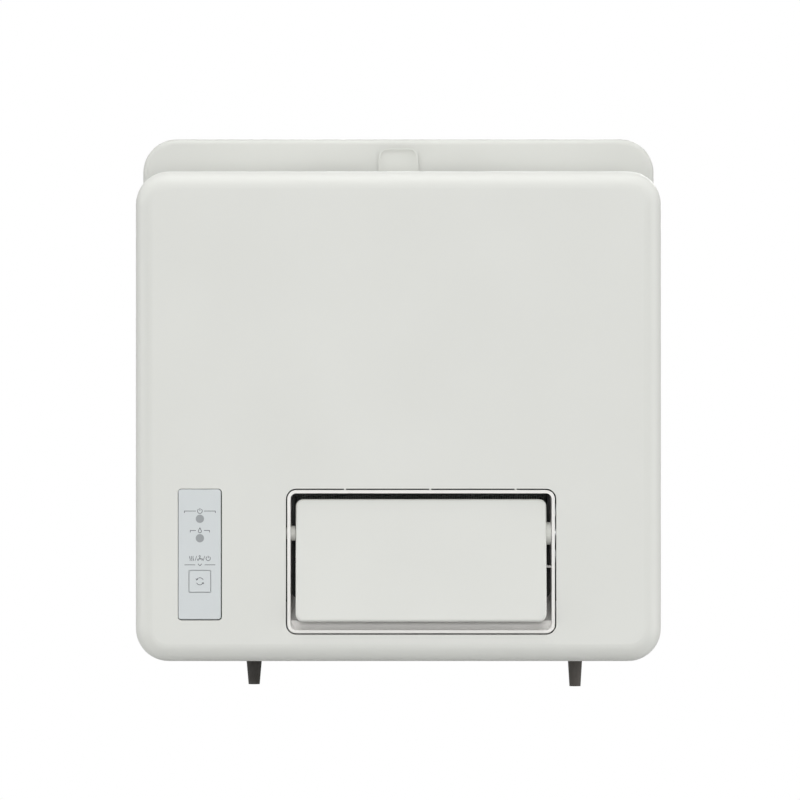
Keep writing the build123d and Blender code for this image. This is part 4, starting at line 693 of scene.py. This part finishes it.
def stroke(build, points, y, closed=False, width=INK_LINE):
    """A flat line of ink through points (x, z) on the plane y, with mitred corners."""
    count = len(points)
    flat = [Vector(point) for point in points]
    sides = []
    for i, point in enumerate(flat):
        before = flat[i - 1] if closed or i else None
        after = flat[(i + 1) % count] if closed or i < count - 1 else None
        inward = (point - before).normalized() if before else (after - point).normalized()
        outward = (after - point).normalized() if after else inward
        normal = Vector((-inward.y - outward.y, inward.x + outward.x)).normalized()
        reach = width / 2 / max(MITRE_LIMIT, normal.dot(Vector((-inward.y, inward.x))))
        sides.append((point + normal * reach, point - normal * reach))
    layers = []
    for level in (y, y - INK_HEIGHT):
        layers.append([[build.verts.new((side.x, level, side.y)) for side in pair] for pair in sides])
    back, front = layers
    steps = count if closed else count - 1
    for i in range(steps):
        j = (i + 1) % count
        build.faces.new((front[i][0], front[j][0], front[j][1], front[i][1]))
        for side in (0, 1):
            build.faces.new((front[i][side], front[j][side], back[j][side], back[i][side]))
    if not closed:
        for i in (0, count - 1):
            build.faces.new((front[i][0], front[i][1], back[i][1], back[i][0]))


def arc(x, z, radius, start, end, steps=14):
    """Points of a round arc, in degrees from the right and counter-clockwise."""
    turns = [radians(start + (end - start) * i / steps) for i in range(steps + 1)]
    return [(x + radius * cos(turn), z + radius * sin(turn)) for turn in turns]


# Each sign stands round the point (x, z) on the plane y
# Lengths are shares of its size, ends of arcs and turns are in degrees, and BARB_SPREAD is in radians
POWER_ARC = (125, 415)
POWER_LINE = (0.05, 0.62)
WAVE_GAP = 0.34
WAVE_SWING = 0.07
WAVE_STEPS = 8
HUB_RADIUS = 0.09
HUB_ARC = (0, 342)
BLADE = ((0.16, 0.0), (0.3, 0.16), (0.5, 0.14), (0.54, -0.02), (0.42, -0.1))
BLADE_TURNS = (90, 210, 330)
SLASH_LEAN = 0.18
DROP_RADIUS = 0.33
DROP_ARC = (150, 390)
DROP_LOW = 0.15
DROP_TIP = 0.55
ARROW_START = 25
ARROW_END = 160
BARB = 0.24
BARB_SPREAD = 0.7


def power_sign(build, x, z, y, size):
    """A ring that is open at the top, with an upright line in the opening."""
    stroke(build, arc(x, z, size / 2, *POWER_ARC, steps=20), y)
    stroke(build, [(x, z + share * size) for share in POWER_LINE], y)


def heat_sign(build, x, z, y, size):
    """Three rising waves."""
    for shift in (-WAVE_GAP, 0, WAVE_GAP):
        wave = []
        for step in range(WAVE_STEPS + 1):
            share = step / WAVE_STEPS
            wave.append((x + size * (shift + WAVE_SWING * sin(2 * pi * share)), z + size * (share - 0.5)))
        stroke(build, wave, y)


def fan_sign(build, x, z, y, size):
    """Three blades round a hub."""
    stroke(build, arc(x, z, HUB_RADIUS * size, *HUB_ARC, steps=10), y, closed=True, width=FINE_LINE)
    for degrees in BLADE_TURNS:
        turn = radians(degrees)
        blade = []
        for along, side in BLADE:
            outward = along * cos(turn) - side * sin(turn)
            upward = along * sin(turn) + side * cos(turn)
            blade.append((x + size * outward, z + size * upward))
        stroke(build, blade, y, closed=True, width=FINE_LINE)


def slash_sign(build, x, z, y, size):
    """A leaning line that parts two other signs."""
    lean, rise = SLASH_LEAN * size, 0.5 * size
    stroke(build, [(x - lean, z - rise), (x + lean, z + rise)], y, width=FINE_LINE)


def drop_sign(build, x, z, y, size):
    """A drop: a round belly with a tip over it."""
    belly = arc(x, z - DROP_LOW * size, DROP_RADIUS * size, *DROP_ARC)
    stroke(build, belly + [(x, z + DROP_TIP * size)], y, closed=True)


def cycle_sign(build, x, z, y, size):
    """Two arrows that chase each other round a circle."""
    for turn in (0, 180):
        path = arc(x, z, size / 2, turn + ARROW_START, turn + ARROW_END, steps=12)
        stroke(build, path, y)
        tip_x, tip_z = path[-1]
        ahead = radians(turn + ARROW_END) + pi / 2
        left, right = [
            (tip_x - BARB * size * cos(ahead + side), tip_z - BARB * size * sin(ahead + side))
            for side in (-BARB_SPREAD, BARB_SPREAD)
        ]
        stroke(build, [left, path[-1], right], y)


# Over each lamp, a sign between two lines that turn down at their outer ends
SIGN = 3.2 * MM
LAMP_SIGN_GAP = 2.4 * MM
UPPER_REACH = 10.4 * MM
LOWER_REACH = 0.62 * UPPER_REACH
LINE_START = 0.85 * SIGN
LINE_DROP = 0.4 * SIGN

# Over the button, a row of signs, and under that a level line with a chevron in its gap
# Each sign of the row has its place and size beside it; these and the chevron are in shares of a sign
MODE_ROW_GAP = 6.7 * MM
MODE_ROW = (
    (heat_sign, -1.75, 1.0),
    (slash_sign, -0.85, 1.0),
    (fan_sign, 0, 1.15),
    (slash_sign, 0.85, 1.0),
    (power_sign, 1.75, 0.9),
)
CHEVRON_GAP = 2.4 * MM
CHEVRON = ((-0.4, 0.2), (0, -0.2), (0.4, 0.2))
BUTTON_SIGN = 1.5 * SIGN


def print_panel():
    """The print on the panel's face, and the sign on the button."""
    build = bmesh.new()
    middle = (lens_low.x + lens_high.x) / 2
    face = panel_low.y
    lamp = lens_high.x - lens_low.x
    upper = lens_high.z - lamp / 2
    lower = lens_low.z + lamp / 2
    for z, reach, sign in ((upper, UPPER_REACH, power_sign), (lower, LOWER_REACH, drop_sign)):
        row = z + lamp / 2 + LAMP_SIGN_GAP
        sign(build, middle, row, face, SIGN)
        for side in (-1, 1):
            near, far = middle + side * LINE_START, middle + side * reach
            stroke(build, [(near, row), (far, row), (far, row - LINE_DROP)], face)
    row = key_high.z + MODE_ROW_GAP
    for sign, place, size in MODE_ROW:
        sign(build, middle + place * SIGN, row, face, size * SIGN)
    row = key_high.z + CHEVRON_GAP
    for side in (-1, 1):
        stroke(build, [(middle + side * UPPER_REACH, row), (middle + side * SIGN, row)], face)
    stroke(build, [(middle + x * SIGN, row + z * SIGN) for x, z in CHEVRON], face)
    finish_piece(build, "panel_print", "root", "panel_white", material=print_ink)
    build = bmesh.new()
    cycle_sign(build, middle, (key_low.z + key_high.z) / 2, key_low.y, BUTTON_SIGN)
    finish_piece(build, "button_print", "key", "panel_white", material=print_ink)


# Stage: pale floor, white background and soft studio light
WHITE = (1, 1, 1, 1)
WORLD_LEVEL = 0.1
FLOOR_DROP = 0.15
FLOOR_RADIUS = 0.74
FLOOR_STEPS = 96
FLOOR_SEEN = (0.9, 0.9, 0.9, 1)
FLOOR_BOUNCE = (0.5, 0.5, 0.5, 1)
FADE_LEAST = 0.25
FADE_START = 0.2 * FLOOR_RADIUS
FADE_END = 0.9 * FLOOR_RADIUS


def seen_ray(tree):
    """A value of 1 where a ray comes from the camera, a reflection or a refraction, and 0 elsewhere."""
    path = tree.nodes.new("ShaderNodeLightPath")
    seen = path.outputs["Is Camera Ray"]
    for kind in ("Is Glossy Ray", "Is Transmission Ray"):
        either = tree.nodes.new("ShaderNodeMath")
        either.operation = "MAXIMUM"
        tree.links.new(seen, either.inputs[0])
        tree.links.new(path.outputs[kind], either.inputs[1])
        seen = either.outputs[0]
    return seen


def add_world():
    """A background that looks white and lights the object only faintly."""
    world = bpy.data.worlds.new("studio")
    bpy.context.scene.world = world
    world.use_nodes = True
    tree = world.node_tree
    faint = tree.nodes["Background"]
    white = tree.nodes.new("ShaderNodeBackground")
    for background, level in ((faint, WORLD_LEVEL), (white, 1.0)):
        background.inputs["Color"].default_value = WHITE
        background.inputs["Strength"].default_value = level
    mixed = mix_shaders(tree, seen_ray(tree), faint.outputs[0], white.outputs[0])
    tree.links.new(mixed, tree.nodes["World Output"].inputs["Surface"])


def floor_white():
    """Pale and matte, fading into the white background towards the rim, and clear from below."""
    material, tree, shader = new_material("floor_white")
    path = tree.nodes.new("ShaderNodeLightPath")
    vary_colour(tree, shader, path.outputs["Is Diffuse Ray"], FLOOR_SEEN, FLOOR_BOUNCE)
    shader.inputs["Roughness"].default_value = 0.9
    shader.inputs["Specular IOR Level"].default_value = 0.1
    glow = tree.nodes.new("ShaderNodeEmission")
    glow.inputs["Color"].default_value = WHITE
    glow.inputs["Strength"].default_value = 1.0
    distance = tree.nodes.new("ShaderNodeVectorMath")
    distance.operation = "LENGTH"
    tree.links.new(object_coordinates(tree), distance.inputs[0])
    fade = map_range(tree, distance.outputs["Value"], FADE_LEAST, 1.0, FADE_START, FADE_END)
    seen = tree.nodes.new("ShaderNodeMath")
    seen.operation = "MULTIPLY"
    tree.links.new(fade, seen.inputs[0])
    tree.links.new(seen_ray(tree), seen.inputs[1])
    faded = mix_shaders(tree, seen.outputs[0], shader.outputs[0], glow.outputs[0])
    clear = tree.nodes.new("ShaderNodeBsdfTransparent")
    geometry = tree.nodes.new("ShaderNodeNewGeometry")
    one_sided = mix_shaders(tree, geometry.outputs["Backfacing"], faded, clear.outputs[0])
    tree.links.new(one_sided, tree.nodes["Material Output"].inputs["Surface"])
    return material


def add_floor():
    """A round floor some way below the object."""
    build = bmesh.new()
    bmesh.ops.create_circle(build, cap_ends=True, segments=FLOOR_STEPS, radius=FLOOR_RADIUS)
    mesh = bpy.data.meshes.new("floor")
    build.to_mesh(mesh)
    build.free()
    mesh.materials.append(floor_white())
    floor = bpy.data.objects.new("floor", mesh)
    floor.location = (0, 0, cad_box[0][2] - FLOOR_DROP)
    bpy.context.scene.collection.objects.link(floor)


def add_lamp(name, power, size, place, target=(0, 0, 0)):
    """A soft square lamp that looks at a point."""
    data = bpy.data.lights.new(name, "AREA")
    data.energy = power
    data.size = size
    lamp = bpy.data.objects.new(name, data)
    lamp.location = place
    lamp.rotation_euler = (Vector(target) - Vector(place)).to_track_quat("-Z", "Y").to_euler()
    bpy.context.scene.collection.objects.link(lamp)


folded_fins()
electrode_bars()
duct_cove()
filter_net()
cross_screws("hood_screws", (0, 1, 0))
cross_screws("hook_screws", (0, -1, 0))
cross_screws("clamp_screws", (0, -1, 0))
cross_screws("cover_screws", (0, 0, -1), LOW_HEAD_SHARE)
print_panel()

add_camera()
add_world()
add_floor()
add_lamp("top_light", power=25, size=1.5, place=(0, -0.6, 1.9), target=(0, -0.05, 0))
add_lamp("front_light", power=74, size=1.2, place=(0, -4.2, 0.3))
add_lamp("left_light", power=36, size=1.6, place=(-3.1, -0.85, 0.3))
add_lamp("right_light", power=41, size=1.6, place=(3.1, -0.85, 0.3))
add_lamp("back_light", power=75, size=1.6, place=(0.5, 3.6, 0.9))
bpy.context.scene.view_settings.view_transform = "Standard"
